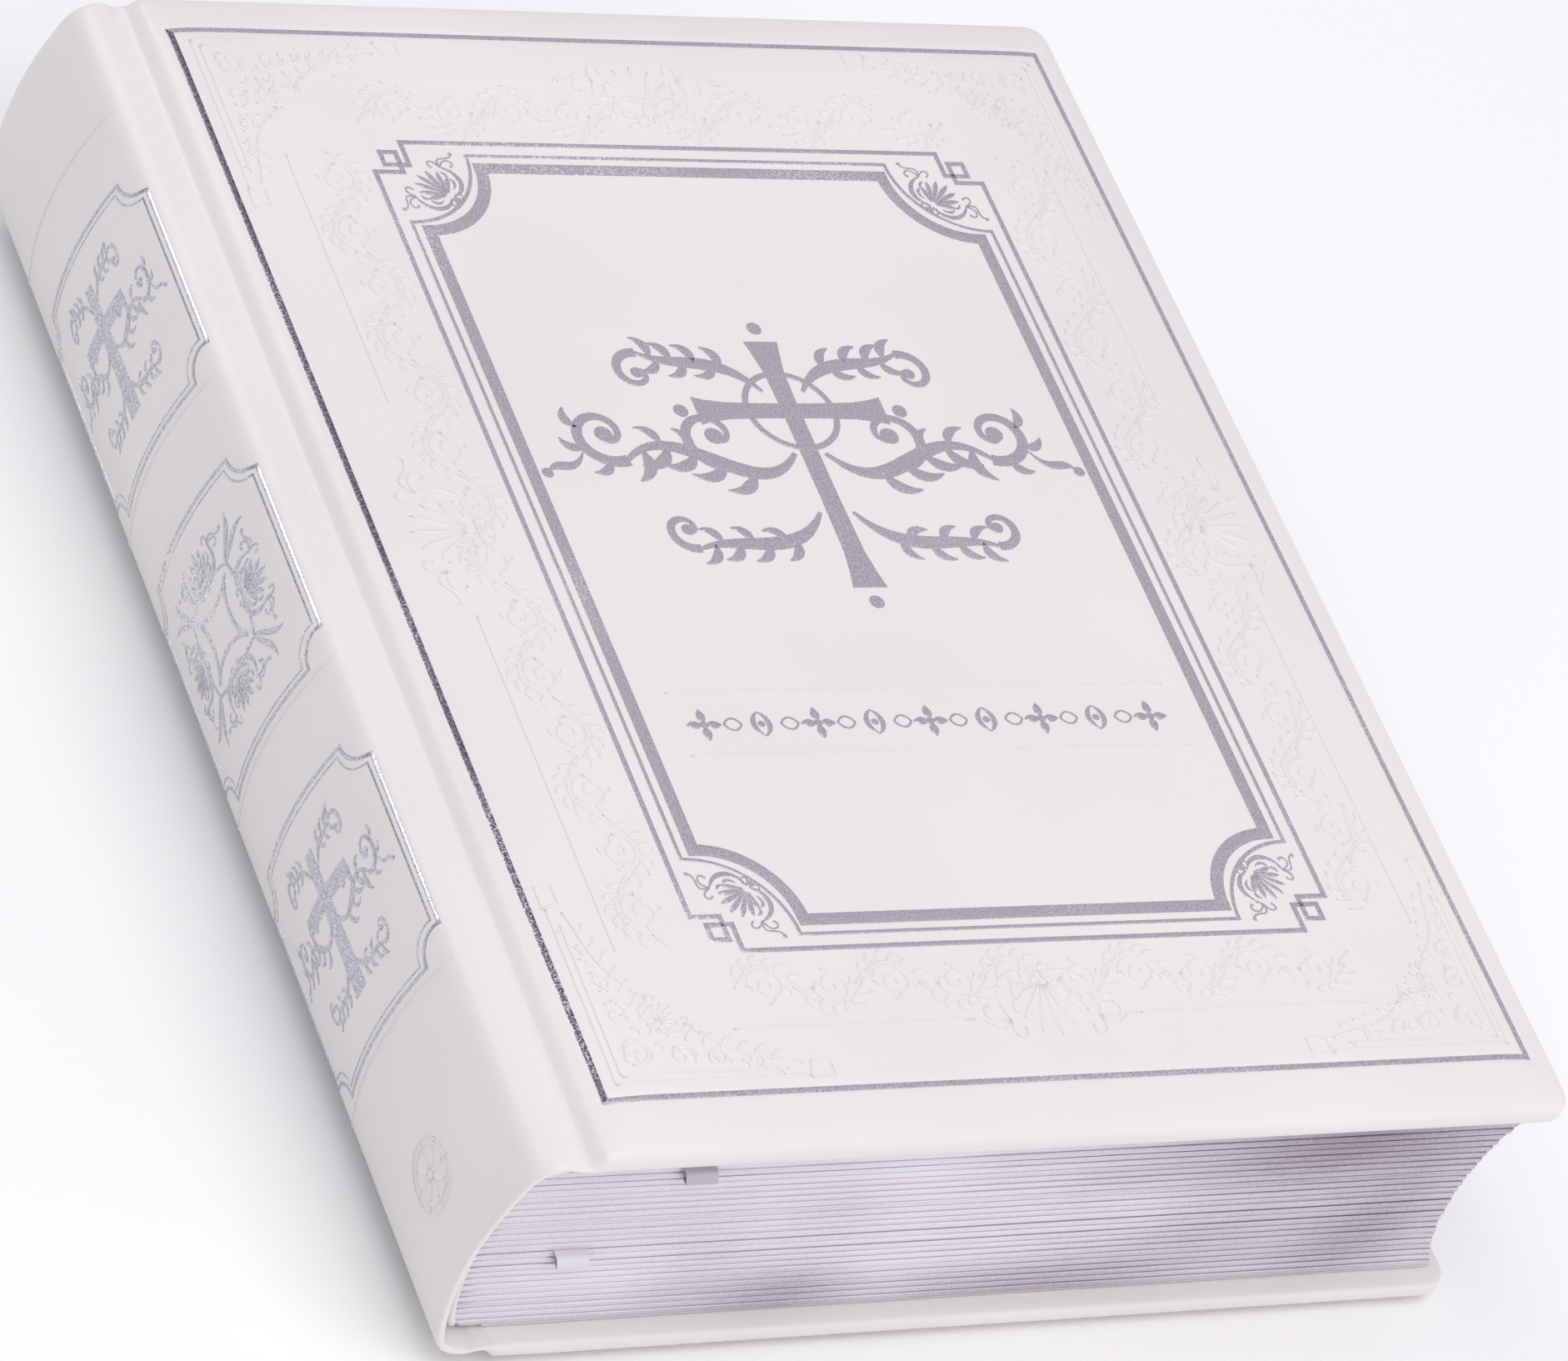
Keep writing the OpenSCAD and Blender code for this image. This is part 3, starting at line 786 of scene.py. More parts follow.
def bez(a, b, c, d, count=12):
    """Curve from a to d that b and c pull towards themselves."""
    t = np.linspace(0, 1, count)[:, None]
    a, b, c, d = (np.array(p, float) for p in (a, b, c, d))
    return (1 - t) ** 3 * a + 3 * (1 - t) ** 2 * t * b + 3 * (1 - t) * t ** 2 * c + t ** 3 * d


def curl(centre, start, end, r_start, r_end, count=26):
    """Spiral between two angles in degrees."""
    a = np.radians(np.linspace(start, end, count))
    r = np.linspace(r_start, r_end, count)
    return np.stack([centre[0] + r * np.cos(a), centre[1] + r * np.sin(a)], 1)


# A figure is a list of strokes with a path and widths, and beads with a centre and a radius.


def stroke(path, widths):
    return ("stroke", np.asarray(path, float), widths)


def bead(at, radius):
    return ("bead", np.array([at], float), radius)


def leafy(path, width, tip=0.12, fattest=0.6):
    """Stroke as wide as a leaf: pointed at both ends and widest at the share called fattest."""
    t = np.linspace(0, 1, len(path))
    bulge = np.where(t < fattest, np.sin(t / fattest * math.pi / 2),
                     np.cos((t - fattest) / (1 - fattest) * math.pi / 2))
    return stroke(path, width * (tip + (1 - tip) * bulge))


def placed(items, at=(0, 0), turn=0.0, scale=1.0, flip=False):
    """The figure flipped along X, then scaled, turned by degrees and moved."""
    a = math.radians(turn)
    rot = np.array([[math.cos(a), -math.sin(a)], [math.sin(a), math.cos(a)]])
    grow = (-scale if flip else scale, scale)
    return [(kind, path * grow @ rot.T + at, np.asarray(size, float) * scale) for kind, path, size in items]


def both_sides(items):
    return items + placed(items, flip=True)


def swapped(items):
    """The same figure with its two directions exchanged."""
    return [(kind, path[:, ::-1], size) for kind, path, size in items]


def fronds(path, places, length, width, side):
    """Leaves that grow from a path at the given shares of its length."""
    items = []
    for place in places:
        at = place * (len(path) - 1)
        i = min(int(at), len(path) - 2)
        foot = path[i] + (path[i + 1] - path[i]) * (at - i)
        along = (path[i + 1] - path[i]) / np.linalg.norm(path[i + 1] - path[i])
        out = np.array([-along[1], along[0]]) * side
        tip = foot + (along * 0.75 + out * 0.75) * length
        items.append(leafy(bez(foot, foot + out * length * 0.45, tip - along * length * 0.5, tip, 9),
                           width, 0.15, 0.45))
    return items


def palmette():
    items = []
    for k in range(-3, 4):
        a = math.radians(k * 17)
        length = 8.9 - 0.36 * k * k
        r = np.linspace(1.1, length, 9)
        lean = a * (0.86 + 0.2 * r / length)
        items.append(leafy(np.stack([r * np.sin(lean), r * np.cos(lean)], 1), 1.25, 0.1, 0.72))
    side = [
        leafy(bez((0.3, -0.5), (4.2, -2.4), (8.6, 1.0), (6.4, 6.2), 14), 1.25, 0.25, 0.5),
        leafy(bez((2.4, 0.6), (4.0, 0.4), (5.2, 1.6), (4.6, 2.9), 8), 0.8),
        leafy(bez((4.0, 3.2), (5.2, 3.2), (5.6, 4.4), (4.9, 5.4), 8), 0.7),
        stroke(curl((1.3, -1.7), 150, -160, 1.2, 0.5, 16), 0.4),
        stroke(bez((6.4, 6.2), (7.6, 9.4), (4.4, 9.9), (4.9, 7.4), 10), 0.42),
        stroke(bez((6.5, 6.0), (9.6, 7.6), (10.6, 4.4), (8.9, 4.0), 10), 0.42),
        stroke(bez((6.6, 6.4), (8.8, 9.6), (9.0, 5.4), (11.9, 5.9), 12), 0.42),
        bead((12.0, 6.2), 0.55),
        bead((8.6, 4.2), 0.42),
    ]
    return items + both_sides(side)


def scroll_unit(sign, half):
    """Half a wave of a leafy scroll, from the origin along +X."""
    rise = 4.9
    t = np.linspace(0, 1, 12)
    stem = np.stack([half * t, sign * rise * np.sin(math.pi * t)], 1)
    spiral = curl((half * 0.52, sign * rise * 0.05), 180, 180 - 560 * sign, rise * 0.86, rise * 0.12, 30)
    items = [stroke(stem, 0.6), stroke(spiral, 0.55)]
    items += fronds(stem, (0.12, 0.27, 0.42, 0.57, 0.72, 0.88), 3.0, 1.05, sign)
    items += fronds(spiral, (0.08, 0.2, 0.32, 0.46, 0.6), 2.1, 0.75, sign)
    items.append(leafy(bez((half * 0.9, 0), (half * 1.0, sign * -1.6), (half * 1.14, sign * -2.2),
                           (half * 1.18, sign * -3.4), 8), 0.8))
    return items


def scroll_band(length):
    """Whole waves of the scroll, with half a wave about every 13 mm."""
    count = 2 * max(1, round(length / 13.0 / 2))
    half = length / count
    items = []
    for i in range(count):
        items += placed(scroll_unit(1 if i % 2 == 0 else -1, half), (i * half, 0))
    return items


def corner_filigree():
    """Fills a corner at the origin along +X and +Y."""
    size = 46.0
    half = [
        stroke([(1.5, 1.5), (size - 5, 1.5)], 0.5),
        stroke([(3.2, 3.0), (size - 9, 3.0)], 0.4),
        stroke([(size - 5, 1.0), (size, 1.0), (size, 4.4), (size - 4, 4.4), (size - 5, 1.0)], 0.45),
        stroke(bez((size - 6, 4.2), (size - 12, 6.5), (size - 18, 5.0), (22, 12), 14), 0.5),
        stroke(curl((8.5, 7.2), 200, -260, 3.4, 0.6), 0.5),
        stroke(curl((16.5, 6.6), -30, 400, 2.8, 0.5), 0.45),
        stroke(curl((24.0, 6.0), 200, -220, 2.2, 0.4), 0.45),
        stroke(curl((31.0, 5.4), -30, 360, 1.6, 0.35), 0.4),
    ]
    for k in range(8):
        x, y = 12 + 3.2 * k, 11.8 - 0.95 * k
        half.append(leafy(bez((x, y), (x + 0.4, y + 1.6), (x + 2.2, y + 2.2),
                              (x + 2.8, y + 3.4 - 0.2 * k), 7), 0.9))
        half.append(leafy(bez((x, y - 2), (x + 1, y - 1.6), (x + 1.6, y - 2.4), (x + 1.2, y - 3.3), 6), 0.6))
    return half + swapped(half) + placed(palmette(), (14, 14), -45, 0.62)


# The foil frame's middle, the half sizes of its three lines, and the radius of its hollow corners
PANEL_X, PANEL_Y = 120.35, 1.6
OUTER, MIDDLE, BANDED = (68.65, 100.3), (65.4, 97.0), (62.2, 93.7)
HOLLOW = 18.0
CORNERS = [(sx, sy) for sx in (-1, 1) for sy in (-1, 1)]


def on_panel(path):
    return np.asarray(path) + (PANEL_X, PANEL_Y)


def mirrored_quarter(quarter):
    """Closed path from the corner in +X and +Y, listed from the head side to the fore-edge side."""
    q = np.asarray(quarter, float)
    return np.vstack([q, (q * (1, -1))[::-1], q * (-1, -1), (q * (-1, 1))[::-1]])


def knotted_path(half):
    """Rectangle whose corners step in and loop round a small square."""
    steps = [(8, 0), (8, 6.1), (2.7, 6.1), (2.7, 2.7), (6.1, 2.7), (6.1, 8), (0, 8)]
    return mirrored_quarter(np.array(half) - steps)


def hollow_path(half, radius, count=22):
    """Rectangle with hollow corners."""
    turn = np.radians(np.linspace(180, 270, count))
    return mirrored_quarter(half + radius * np.stack([np.cos(turn), np.sin(turn)], 1))


def draw_fillet(build):
    left, right, tail, head = FILLET
    corners = [(left, head), (left, tail), (right, tail), (right, head)]
    build.line(corners, 1.2, closed=True, step=2)
    for i, face in enumerate(build.faces):
        if max(build.points[0][v][0] for v in face) < left + 1.5:
            build.slots[i] = 1  # the side beside the groove takes the darker foil: a painted dark reflection


def draw_panel_lines(build):
    build.line(on_panel(knotted_path(OUTER)), 1.1, closed=True, step=3)
    build.line(on_panel(hollow_path(MIDDLE, HOLLOW)), 0.8, closed=True, step=3)
    inset = HOLLOW * 0.707 - 0.5
    for sx, sy in CORNERS:
        at = on_panel((sx * (MIDDLE[0] - inset), sy * (MIDDLE[1] - inset)))
        build.dot(at, 0.95, 0.09)


def draw_band(build):
    build.line(on_panel(hollow_path(BANDED, HOLLOW - 1.2)), 2.7, closed=True, step=2.5)


def draw_corners(build):
    for sx, sy in CORNERS:
        turn = math.degrees(math.atan2(sy, sx)) - 90
        build.draw(placed(palmette(), on_panel((sx * 54.4, sy * 86.0)), turn, 0.88))


def cross_flourish():
    """Scrolls and leaves that fill both sides of the cross."""
    stem = bez((3.4, 1.0), (16, -15), (27, 13), (41, -1), 26)
    upper = bez((4.5, 17), (12, 28), (22, 22), (29, 27), 18)
    lower = bez((3.6, -14), (12, -27), (24, -19), (33, -23), 18)
    outer_spiral = curl((43.5, 6.0), -115, 300, 7.4, 1.3, 36)
    inner_spiral = curl((19.5, 5.5), -100, 250, 8.2, 1.4, 34)
    side = [
        leafy(stem, 2.9, 0.3, 0.4),
        stroke(outer_spiral, np.linspace(2.3, 0.8, 36)),
        stroke(inner_spiral, np.linspace(2.2, 0.8, 34)),
        leafy(upper, 2.5, 0.25, 0.4),
        stroke(curl((30.4, 21.8), 105, -220, 5.3, 1.0, 28), np.linspace(1.8, 0.7, 28)),
        leafy(lower, 2.7, 0.25, 0.4),
        stroke(curl((34.2, -18.2), -105, 230, 4.9, 0.9, 28), np.linspace(1.8, 0.7, 28)),
        leafy(bez((49.5, 1.5), (53, -5), (56, 0), (58.5, -3.5), 12), 1.8),
        bead((43.5, 6.0), 1.7),
        bead((19.5, 5.5), 1.8),
        bead((30.4, 21.8), 1.2),
        bead((34.2, -18.2), 1.2),
        bead((59.0, -3.8), 1.1),
    ]
    side += fronds(stem, (0.3, 0.45, 0.6, 0.75, 0.9), 8.0, 2.3, -1)
    side += fronds(stem, (0.62, 0.78), 6.0, 1.8, 1)
    side += fronds(outer_spiral, (0.08, 0.2, 0.32), 5.0, 1.8, -1)
    for branch, outward in ((upper, 1), (lower, -1)):
        side += fronds(branch, (0.3, 0.5, 0.7, 0.88), 5.6, 1.8, outward)
        side += fronds(branch, (0.35, 0.6, 0.82), 5.2, 1.7, -outward)
    return both_sides(side)


def draw_cross(build):
    at = np.array((PANEL_X, 20.0))
    flare = np.array([7.6, 6.0, 4.6, 4.1, 4.1, 4.1, 4.6, 6.0, 7.6])
    upright = [(0, y) for y in (-33, -29, -24, -10, 4, 14, 22, 26, 30)]
    arms = [(x, 12) for x in (-21, -18.4, -14, -6, 0, 6, 14, 18.4, 21)]
    build.line(upright + at, flare)
    build.line(arms + at, flare * 0.94, lift=0.012)
    ring = curl((0, 12), 0, 352, 9.6, 9.6, 48)
    build.line(ring + at, 1.3, closed=True, lift=0.024)
    for spot in ((0, 33.5), (24.4, 12), (-24.4, 12), (0, -36.6)):
        build.dot(at + spot, 1.7, 0.09)
    build.draw(placed(cross_flourish(), at), thick=1.2)


def draw_lower(build):
    """Row of small flowers and pairs of leaves in turn, with an eye between each two."""
    pitch = 12.2
    petal = leafy(np.linspace((0, 0.5), (0, 3.7), 7), 1.9, 0.15, 0.45)
    for i in range(-4, 5):
        at = np.array((PANEL_X + i * pitch, -46.0))
        is_flower = i % 2 == 0
        if is_flower:
            for quarter in range(4):
                build.draw(placed([petal], at, 90 * quarter))
        else:
            for s in (-1, 1):
                path = bez((0, -2.9 * s), (2.2, -1.4 * s), (2.2, 1.4 * s), (0, 2.9 * s), 9)
                build.draw(placed([leafy(path, 1.2, 0.2, 0.5)], at, flip=s > 0))
        build.dot(at, 0.9 if is_flower else 0.8, 0.1)
        if i > -4:
            for s in (-1, 1):
                lid = stroke(bez((-1.9, 0), (-0.8, s * 1.9), (0.8, s * 1.9), (1.9, 0), 7), 0.45)
                build.draw(placed([lid], at - (pitch / 2, 0)))


for name, node, make in (("foil_fillet", "front_fillet", draw_fillet),
                         ("foil_panel_lines", "front_panel_lines", draw_panel_lines),
                         ("foil_panel_band", "front_panel_band", draw_band),
                         ("foil_corner_palmettes", "front_corner_ornaments", draw_corners),
                         ("foil_cross", "front_centre_ornament", draw_cross),
                         ("foil_lower_row", "front_lower_ornament", draw_lower)):
    foil = Ornament(cover_surface)
    make(foil)
    attach(foil.piece(name, FOIL, DARK_REFLECTION_FOIL, sharp=40), "front_cover", "silver_foil", node)


# Ends of the straight blind lines on the front
BLIND_LINES = [((x0, y), (x1, y)) for y in (-116.3, 119.5) for x0, x1 in ((51, 100), (137, 187))]
BLIND_LINES += [((x, y0), (x, y1)) for x in (205.6, 33.8) for y0, y1 in ((-98, -19), (34, 98))]
BLIND_LINES += [((66, y), (175, y)) for y in (-38.2, -53.4)]


def front_blind_tooling():
    """Tooling in the leather without foil: border, corner pieces, fleurons and lines."""
    build = Ornament(cover_surface, RAISED)

    def put(items, thick=1.0):
        build.draw(items, 1.6, thick, 0.14)

    band_x, band_y = OUTER[0] + 9.2, OUTER[1] + 8.6
    end_x, end_y = OUTER[0] - 3, OUTER[1] - 3
    for x, y, turn, end in ((-end_x, -band_y, 0, end_x), (end_x, band_y, 180, end_x),
                            (band_x, -end_y, 90, end_y), (-band_x, end_y, -90, end_y)):
        put(placed(scroll_band(2 * end), on_panel((x, y)), turn), 1.2)
    left, right, tail, head = FILLET[0] + 1.6, FILLET[1] - 1.6, FILLET[2] + 1.6, FILLET[3] - 1.6
    for x, y, turn in ((left, tail, 0), (right, tail, 90), (right, head, 180), (left, head, 270)):
        put(placed(corner_filigree(), (x, y), turn), 1.35)
    for x, y, turn in ((118.5, -107.5, 180), (118.5, 110.8, 0), (199.5, 1.6, -90), (40.5, 1.6, 90)):
        put(placed(palmette(), (x, y), turn, 1.5), 0.75)
    for line in BLIND_LINES:
        put([stroke(line, 0.5)])
    attach(build.piece("front_blind_tooling", LEATHER), "front_cover", "faux_leather")


front_blind_tooling()

LABELS = (74.3, 4.05, -65.5)
LABEL_HALF = 25.6
U_RIGHT, U_LEFT = (float(np.interp(z, SHELL[:, 1], SHELL_STEP)) for z in (56.9, 8.6))
U_MID, U_HALF = (U_RIGHT + U_LEFT) / 2, (U_RIGHT - U_LEFT) / 2
ROSETTE = np.array((-122.5, U_MID - 0.5))


def label_path(grow):
    """Label outline in Y and u, with hollow corners."""
    return hollow_path((LABEL_HALF - grow, U_HALF - grow), 6.0, 13)


def medallion():
    quarter = placed(palmette(), (0, 7.4), 0, 0.62) + [
        stroke(bez((-5.2, 5.2), (-3.0, 2.6), (3.0, 2.6), (5.2, 5.2)), 0.6),
        stroke(bez((-6.4, 6.2), (-2.5, 7.6), (2.5, 7.6), (6.4, 6.2)), 0.45),
        leafy(bez((6.0, 6.0), (8.4, 7.0), (9.6, 9.4), (12.2, 9.2), 9), 0.9),
        leafy(bez((6.0, 6.0), (7.0, 8.4), (9.4, 9.6), (9.2, 12.2), 9), 0.9),
    ]
    return [item for turn in (0, 90, 180, 270) for item in placed(quarter, turn=turn)]


def spine_foils():
    frames, fills = Ornament(spine_surface), Ornament(spine_surface)
    for k, mid in enumerate(LABELS):
        def on_label(y, u, h, mid=mid):
            return spine_surface(y + mid, u + U_MID, h)
        frames.surface = fills.surface = on_label
        frames.line(label_path(0), 0.75, closed=True, step=1.2)
        frames.line(label_path(1.35), 0.34, closed=True, step=1.2)
        if k == 1:
            fills.draw(placed(medallion(), scale=1.42), step=1.0)
        else:
            cross = [stroke([(-16, 0), (16, 0)], [4.6, 2.8]), stroke([(5.5, -9.5), (5.5, 9.5)], 3.6)]
            fills.draw(cross, step=1.0)
            vines = [(kind, (path + (0, 0.5)) * (0.355, 0.62), np.asarray(size, float) * 0.44)
                     for kind, path, size in cross_flourish()]
            fills.draw(swapped(vines), step=1.0)
    attach(frames.piece("foil_spine_frames", SPINE_FOIL, sharp=40), "book_block", "silver_foil",
           "spine_label_frames")
    attach(fills.piece("foil_spine_ornaments", SPINE_FOIL, sharp=40), "book_block", "silver_foil",
           "spine_label_ornaments")


def spine_blind_lines():
    """Raised lines across the spine, and a rosette near its tail."""
    lines = Ornament(spine_surface, RAISED)
    for y in [114.7] + [mid - LABEL_HALF - 1.9 for mid in LABELS]:
        lines.line([(y, U_LEFT - 1), (y, U_RIGHT + 1)], 0.55, step=1.1)
    petal = [leafy(np.linspace((0, 1.0), (0, 4.9), 9), 1.9, 0.2, 0.55), bead((0, 6.3), 0.5)]
    for turn in range(0, 360, 45):
        lines.draw(placed(petal, ROSETTE, turn), 0.9, 1.0, 0.2)
    for radius in (5.6, 7.1):
        lines.line(curl(ROSETTE, 0, 354, radius, radius, 60), 0.5, closed=True, step=1.0)
    lines.dot(ROSETTE, 1.0, 0.3)
    attach(lines.piece("spine_blind_lines", LEATHER), "book_block", "faux_leather")


spine_foils()
spine_blind_lines()


# ---------- text block ----------

BLOCK_HALF = 25.25
FORE_X, FORE_HOLLOW = 214.6, 6.4
TEXT_BACK = back_profile(left=4.5, half=BLOCK_HALF, crown=72.0, shoulder=6.0, step=0.8)
HOLLOW_RADIUS = (BLOCK_HALF ** 2 + FORE_HOLLOW ** 2) / (2 * FORE_HOLLOW)

ALONG = np.linspace(0, 1, 42)[:-1]  # shares of the way along each edge of a section
# Where each section's notch is, as a share of its thickness, and how far it is cut back there
NOTCH_SHARE, NOTCH_CUT = np.array([0, 0.04, 0.09]), np.array([1.0, 0.42, 0.10])
BESIDE_RIBBON = 0.35  # there the notch is smaller, because the gap itself shows as a line


def section_ring(z, inset, shift, phase):
    """Outline of a section at one height: tail, fore-edge, head and back."""
    left = float(np.interp(z, TEXT_BACK[:, 1], TEXT_BACK[:, 0]))
    right = FORE_X + HOLLOW_RADIUS - math.sqrt(HOLLOW_RADIUS ** 2 - (z - MID_Z) ** 2)
    level = np.full(len(ALONG), z)
    x = left + (right - left) * ALONG
    y = -PAGE_HALF + 2 * PAGE_HALF * ALONG
    end = PAGE_HALF - inset - 0.12 + shift * 0.5
    held = np.clip(y, -end, end)
    wave = 0.03 * np.sin(x / 17 + phase[0]) + 0.018 * np.sin(x / 6.1 + phase[1])
    tail = np.stack([x, -end - wave, level], 1)
    fore = np.stack([right - inset + shift + 0.05 * np.sin(y / 19 + phase[2]), held, level], 1)
    head = np.stack([x[::-1] + (right - left) / len(ALONG), end + wave, level], 1)
    back = np.stack([np.full(len(ALONG), left + inset * 0.6), -held, level], 1)
    tail[0, 0] = back[0, 0]
    return np.vstack([tail, fore, head, back])


def sections(node, z_from, z_to, count, seed):
    """Sewn sections of pages, with the notches between them on all four edges."""
    rng = np.random.default_rng(seed)
    pitch = (z_to - z_from) / count
    build = Build()
    for i in range(count):
        low, high = z_from + i * pitch, z_from + (i + 1) * pitch - 0.05
        below = BESIDE_RIBBON if i == 0 else 1.0
        above = BESIDE_RIBBON if i == count - 1 else 1.0
        inner = np.sort(rng.uniform(0.16, 0.84, 5))
        shares = np.concatenate([NOTCH_SHARE * below, inner, 1 - NOTCH_SHARE[::-1] * above])
        insets = np.concatenate([NOTCH_CUT * below, rng.uniform(-0.03, 0.05, 5), NOTCH_CUT[::-1] * above])
        shift = rng.uniform(-0.14, 0.12)
        phase = rng.uniform(0, 6.28, 4)
        rings = [section_ring(low + (high - low) * share, inset, shift, phase)
                 for share, inset in zip(shares, insets)]
        n, m = len(rings), len(rings[0])
        # the notch faces take the darker silver: painted shade between the sections
        slots = [2 if between in (0, 1, n - 3, n - 2) else 0 for between in range(n - 1) for _ in range(m)]
        build.add(rings, grid_faces(n, m, close=True), slots)
        build.add(rings[0], [list(range(m))[::-1]], 1)
        build.add(rings[-1], [list(range(m))], 1)
    made = build.piece("pages_" + node.replace("sections_", ""), EDGE, PAGE, NOTCH_SHADE_EDGE, sharp=75)
    attach(made, "book_block", "page_paper", node)


# CAD node, height from and to, number of sections, and seed
for group in (("sections_back", 6.7, 24.48, 10, 1),
              ("sections_under_lower_ribbon", 24.77, 28.08, 2, 2),
              ("sections_middle", 28.37, 47.88, 11, 3),
              ("sections_under_upper_ribbon", 48.17, 51.58, 2, 4),
              ("sections_front", 51.87, 55.0, 2, 5)):
    sections(*group)


def ribbon(name, node, material, x_tail, z_out, z_in):
    """Satin ribbon through the block, turned round the tail edge and tucked back in."""
    thick, width, x_head, leaning = 0.27, 6.5, 9.0, 1.5
    tail, head = -PAGE_HALF, PAGE_HALF
    top, low = z_out + 0.2, z_in + 0.2
    turned = [(0.6, 0), (-0.95, 0), (-1.35, 0.14), (-1.5, 0.5)]  # past the tail edge, and away from it
    bends = [(head + 0.25, z_out - 6), (head + 0.3, top - 1.2), (head + 0.15, top - 0.25), (head - 0.6, top),
             (head - 8, top), (0, top), (tail + 8, top)]
    bends += [(tail + out, top - drop) for out, drop in turned]
    bends += [(tail + out, low + drop) for out, drop in turned[::-1]]
    bends = np.array(bends + [(tail + 10, low), (tail + 42, low)])
    path = [bends[:1]]
    for a, b in zip(bends[:-1], bends[1:]):
        count = max(2, int(np.linalg.norm(b - a) / 6))
        path.append(a + (b - a) * (np.arange(1, count + 1) / count)[:, None])
    path = np.vstack(path)
    y, z = path.T
    tangent = unit_rows(np.gradient(path, axis=0))
    off_y, off_z = -tangent[:, 1] * thick / 2, tangent[:, 0] * thick / 2
    x = np.interp(y, [tail, head], [x_tail, x_head])
    later = np.arange(len(path)) >= len(path) // 2
    x = np.where(later & (z < top - 0.05), x_tail, x)
    x = x + later * leaning * np.clip((top - z) / (top - low), 0, 1)
    shares = np.linspace(0, 1, 7)
    edge = [(share, 1) for share in shares] + [(share, -1) for share in shares[::-1]]
    points = np.stack([np.stack([x + width * share, y + face * off_y, z + face * off_z], 1)
                       for share, face in edge], 1)
    made = simple_piece(name, points, tube_faces(*points.shape[:2]), material, sharp=50)
    attach(made, "book_block", "ribbon_satin", node)


# the lower ribbon takes the lighter satin copy: painted light
ribbon("ribbon_lower", "lower_ribbon", SATIN_PAINTED_LIGHT, 21.0, 28.0, 24.4)
ribbon("ribbon_upper", "upper_ribbon", SATIN, 37.5, 51.5, 47.8)


def end_band(name, node, sign):
    """Thread-wrapped roll along the back edge at the head or the tail."""
    line = curve_through(TEXT_BACK[np.abs(TEXT_BACK[:, 1] - MID_Z) < 23.0], 0.1)
    length = running_length(line)
    at = np.linspace(0, length[-1], int(length[-1] / 0.14))
    path = np.stack([np.interp(at, length, line[:, k]) for k in (0, 1)], 1)
    side = profile_inward(unit_rows(np.gradient(path, axis=0)))
    radius = 0.70 + 0.12 * np.abs(np.sin(at * math.pi / 0.85))  # a thread every 0.85 mm
    radius[0] = radius[-1] = 0.3
    rings = []
    for turn in np.linspace(0, 2 * math.pi, 12, endpoint=False):
        lean = radius * math.cos(turn)
        rings.append(np.stack([path[:, 0] - 0.55 + side[:, 0] * lean,
                               sign * (PAGE_HALF + 0.35 + radius * 0.85 * math.sin(turn)),
                               path[:, 1] + side[:, 1] * lean], 1))
    points = np.stack(rings, 1)
    made = simple_piece(name, points, tube_faces(*points.shape[:2]), BAND)
    attach(made, "book_block", "band_cloth", node)


end_band("band_head", "headband", 1)
end_band("band_tail", "tailband", -1)


# ---------- end leaves and endpapers ----------


def slab(name, x, z_low, thick, half, materials, rows=29):
    """Thin closed sheet whose lower face may vary along X. Its edges have the second material."""
    y = np.linspace(-half, half, rows)
    n = len(x)
    numbers = np.arange(n * rows).reshape(n, rows)
    rim = np.concatenate([numbers[:, 0], numbers[-1, 1:], numbers[-2::-1, -1], numbers[0, -2::-1]])
    z = np.broadcast_to(np.asarray(z_low, float), (n,))[:, None]
    faces = [face[::-1] for face in grid_faces(n, rows)] + grid_faces(n, rows, n * rows)
    points = [np.stack(np.broadcast_arrays(x[:, None], y, z + up), -1) for up in (0, thick)]
    slots = [0] * len(faces) + [1] * (len(rim) - 1)
    return simple_piece(name, points, faces + joined(rim, rim + n * rows), *materials, slots=slots, sharp=40)


GUTTER_X = 14.9
LEAF_STATIONS = np.concatenate([np.arange(GUTTER_X, 44, 1.0), np.linspace(44, 220.5, 24)])
FRONT_FOLD, BACK_FOLD = 55.05, 6.68

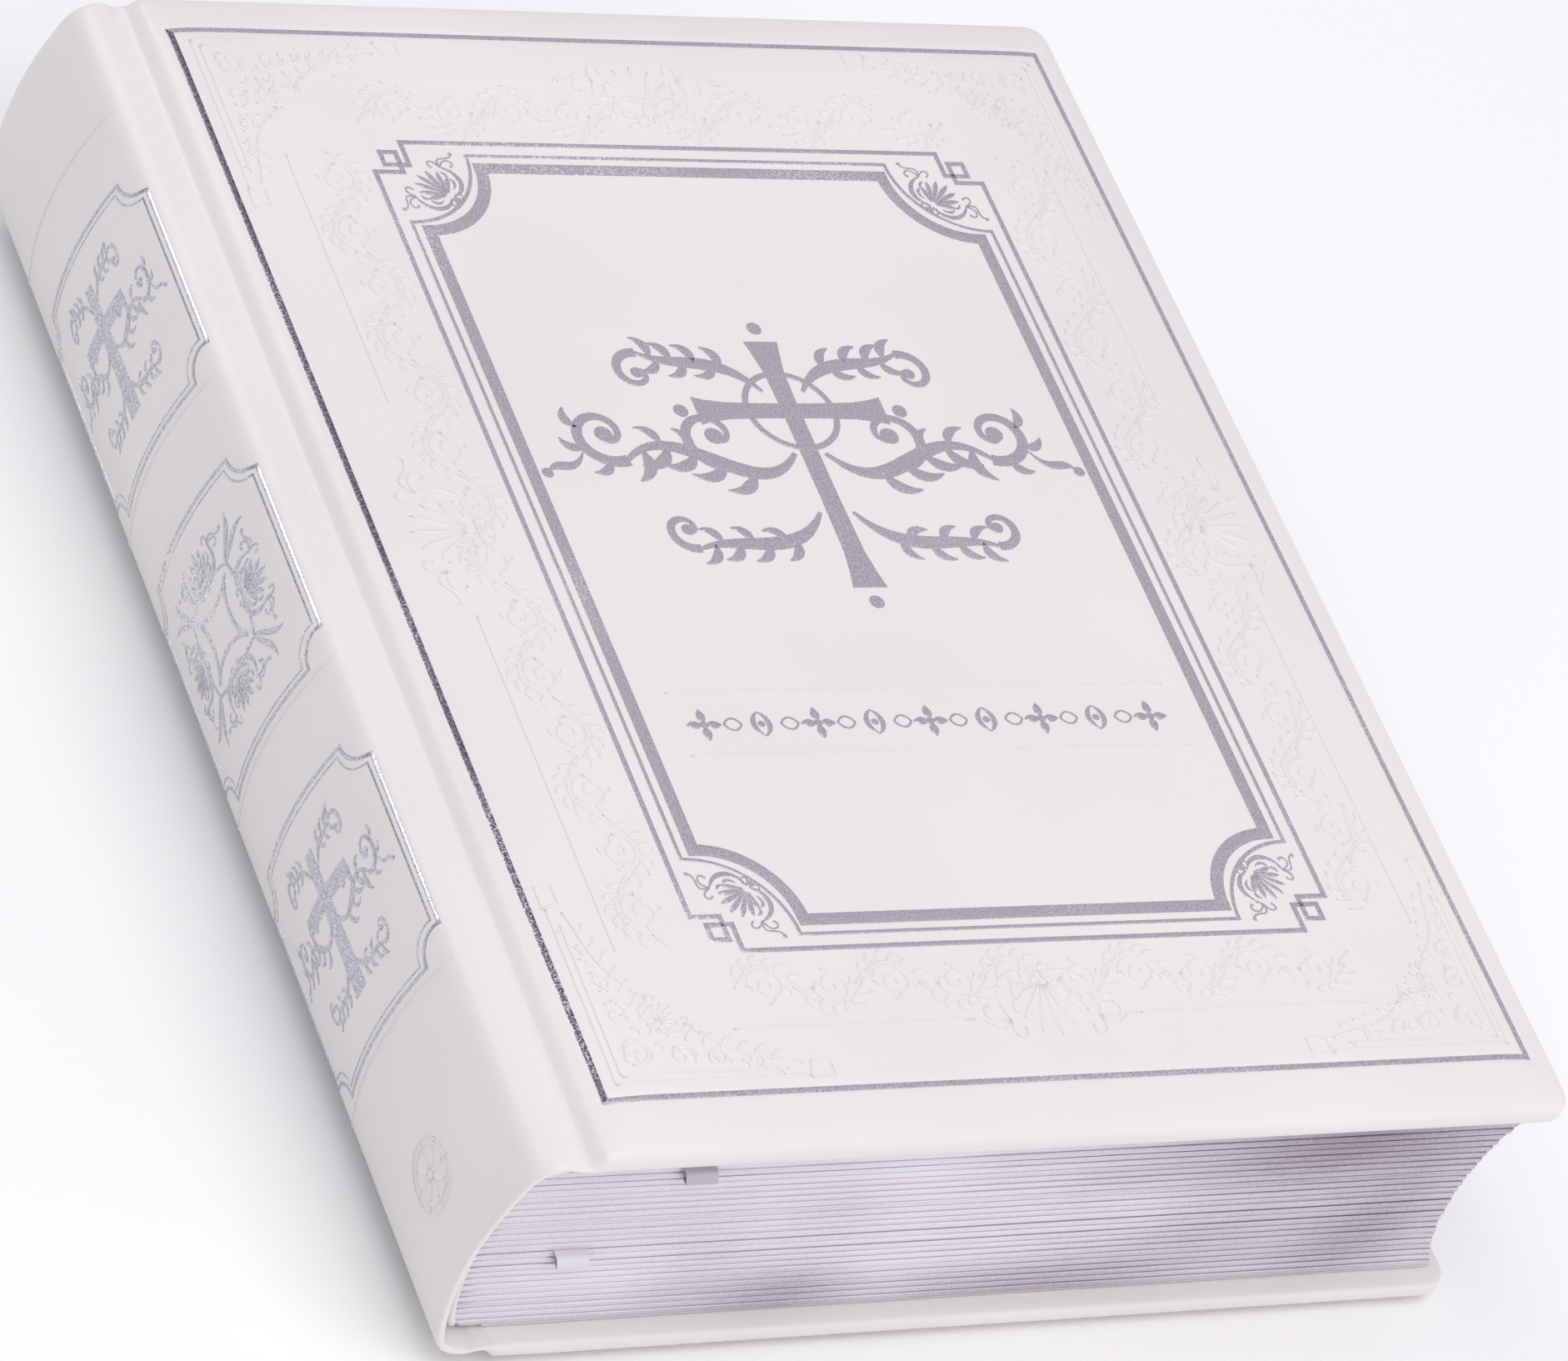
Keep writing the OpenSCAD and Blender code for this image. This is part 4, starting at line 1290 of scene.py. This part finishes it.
# Name, height of the lower face and of the fold, body, and the CAD nodes it stands for
for name, z, fold_z, body, *nodes in (
        ("leaf_title", 55.1, FRONT_FOLD, "title_leaf", "title_leaf", "front_leaf_margins"),
        ("leaf_record", 55.5, FRONT_FOLD, "record_leaf", "record_leaf"),
        ("leaf_presentation", 55.9, FRONT_FOLD, "presentation_leaf", "presentation_leaf"),
        ("leaf_front_fly", 56.3, FRONT_FOLD, "front_flyleaf", "front_flyleaf"),
        ("leaf_back_fly", 6.35, BACK_FOLD, "back_flyleaf", "back_flyleaf", "back_leaf_margin")):
    face, slot = (ENDPAPER, "endpaper") if "fly" in name else (PAGE, "page_paper")
    made = slab(name, LEAF_STATIONS, z, 0.3, PAGE_HALF - 0.05, (face, EDGE))
    bend(made, "book_block", body, (15.5, 0, fold_z), (38, 0, fold_z), slot, *nodes)

ENDPAPER_T, ENDPAPER_HALF = 0.2, 137.0
paste_x = np.concatenate([np.arange(13.55, 20, 0.45), np.linspace(20, 219, 26)])
paste_z = np.interp(paste_x, [13.55, 14.3, 15.2, 16.0], [56.42, 56.6, 56.76, 56.78])
hinge_x = np.array([11.0, 11.2, 11.5, 11.9, 12.3, 12.7, 13.1, 13.55])
hinge_z = np.array([55.3, 55.75, 56.1, 56.28, 56.35, 56.38, 56.40, 56.42])
back_x = np.concatenate([hinge_x[:-1], paste_x])
back_z = BOOK_T - np.concatenate([hinge_z[:-1], paste_z]) - ENDPAPER_T

# Name, stations, heights of the lower face, the two bodies, the bend's start and end, and the CAD nodes
for name, x, z, bodies, start, end, *nodes in (
        ("endpaper_front", paste_x, paste_z, ("front_joint", "front_cover"),
         (14.3, 0, 58.3), (18.6, 0, 58.3), "front_pastedown", "front_joint_lining"),
        ("endpaper_front_hinge", hinge_x, hinge_z, ("book_block", "front_joint"),
         (11.0, 0, 56), (13.3, 0, 56)),
        ("endpaper_back", back_x, back_z, ("book_block", "back_cover"),
         (11.0, 0, 6.6), (13.3, 0, 6.6), "back_pastedown", "back_joint_lining")):
    made = slab(name, x, z, ENDPAPER_T, ENDPAPER_HALF, (ENDPAPER, ENDPAPER), rows=33)
    bend(made, *bodies, start, end, "endpaper", *nodes)


# ---------- CAD nodes that stay ----------

for name, material in (("front_board", GREYBOARD), ("back_board", GREYBOARD), ("spine_stiffener", GREYBOARD),
                       ("spine_lining", KRAFT), ("spine_mull", MULL), ("sewing_threads", BAND)):
    node_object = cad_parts[name]
    node_object.data.materials.clear()
    node_object.data.materials.append(material)


# ---------- floor ----------

FLOOR_REACH, FLOOR_Z = 3000.0, -0.05
floor_build = Build()
floor_build.add([(sx * FLOOR_REACH, sy * FLOOR_REACH, FLOOR_Z) for sx, sy in CORNERS], [[0, 2, 3, 1]])
floor = floor_build.piece("floor", make_floor_material(), outward=False)
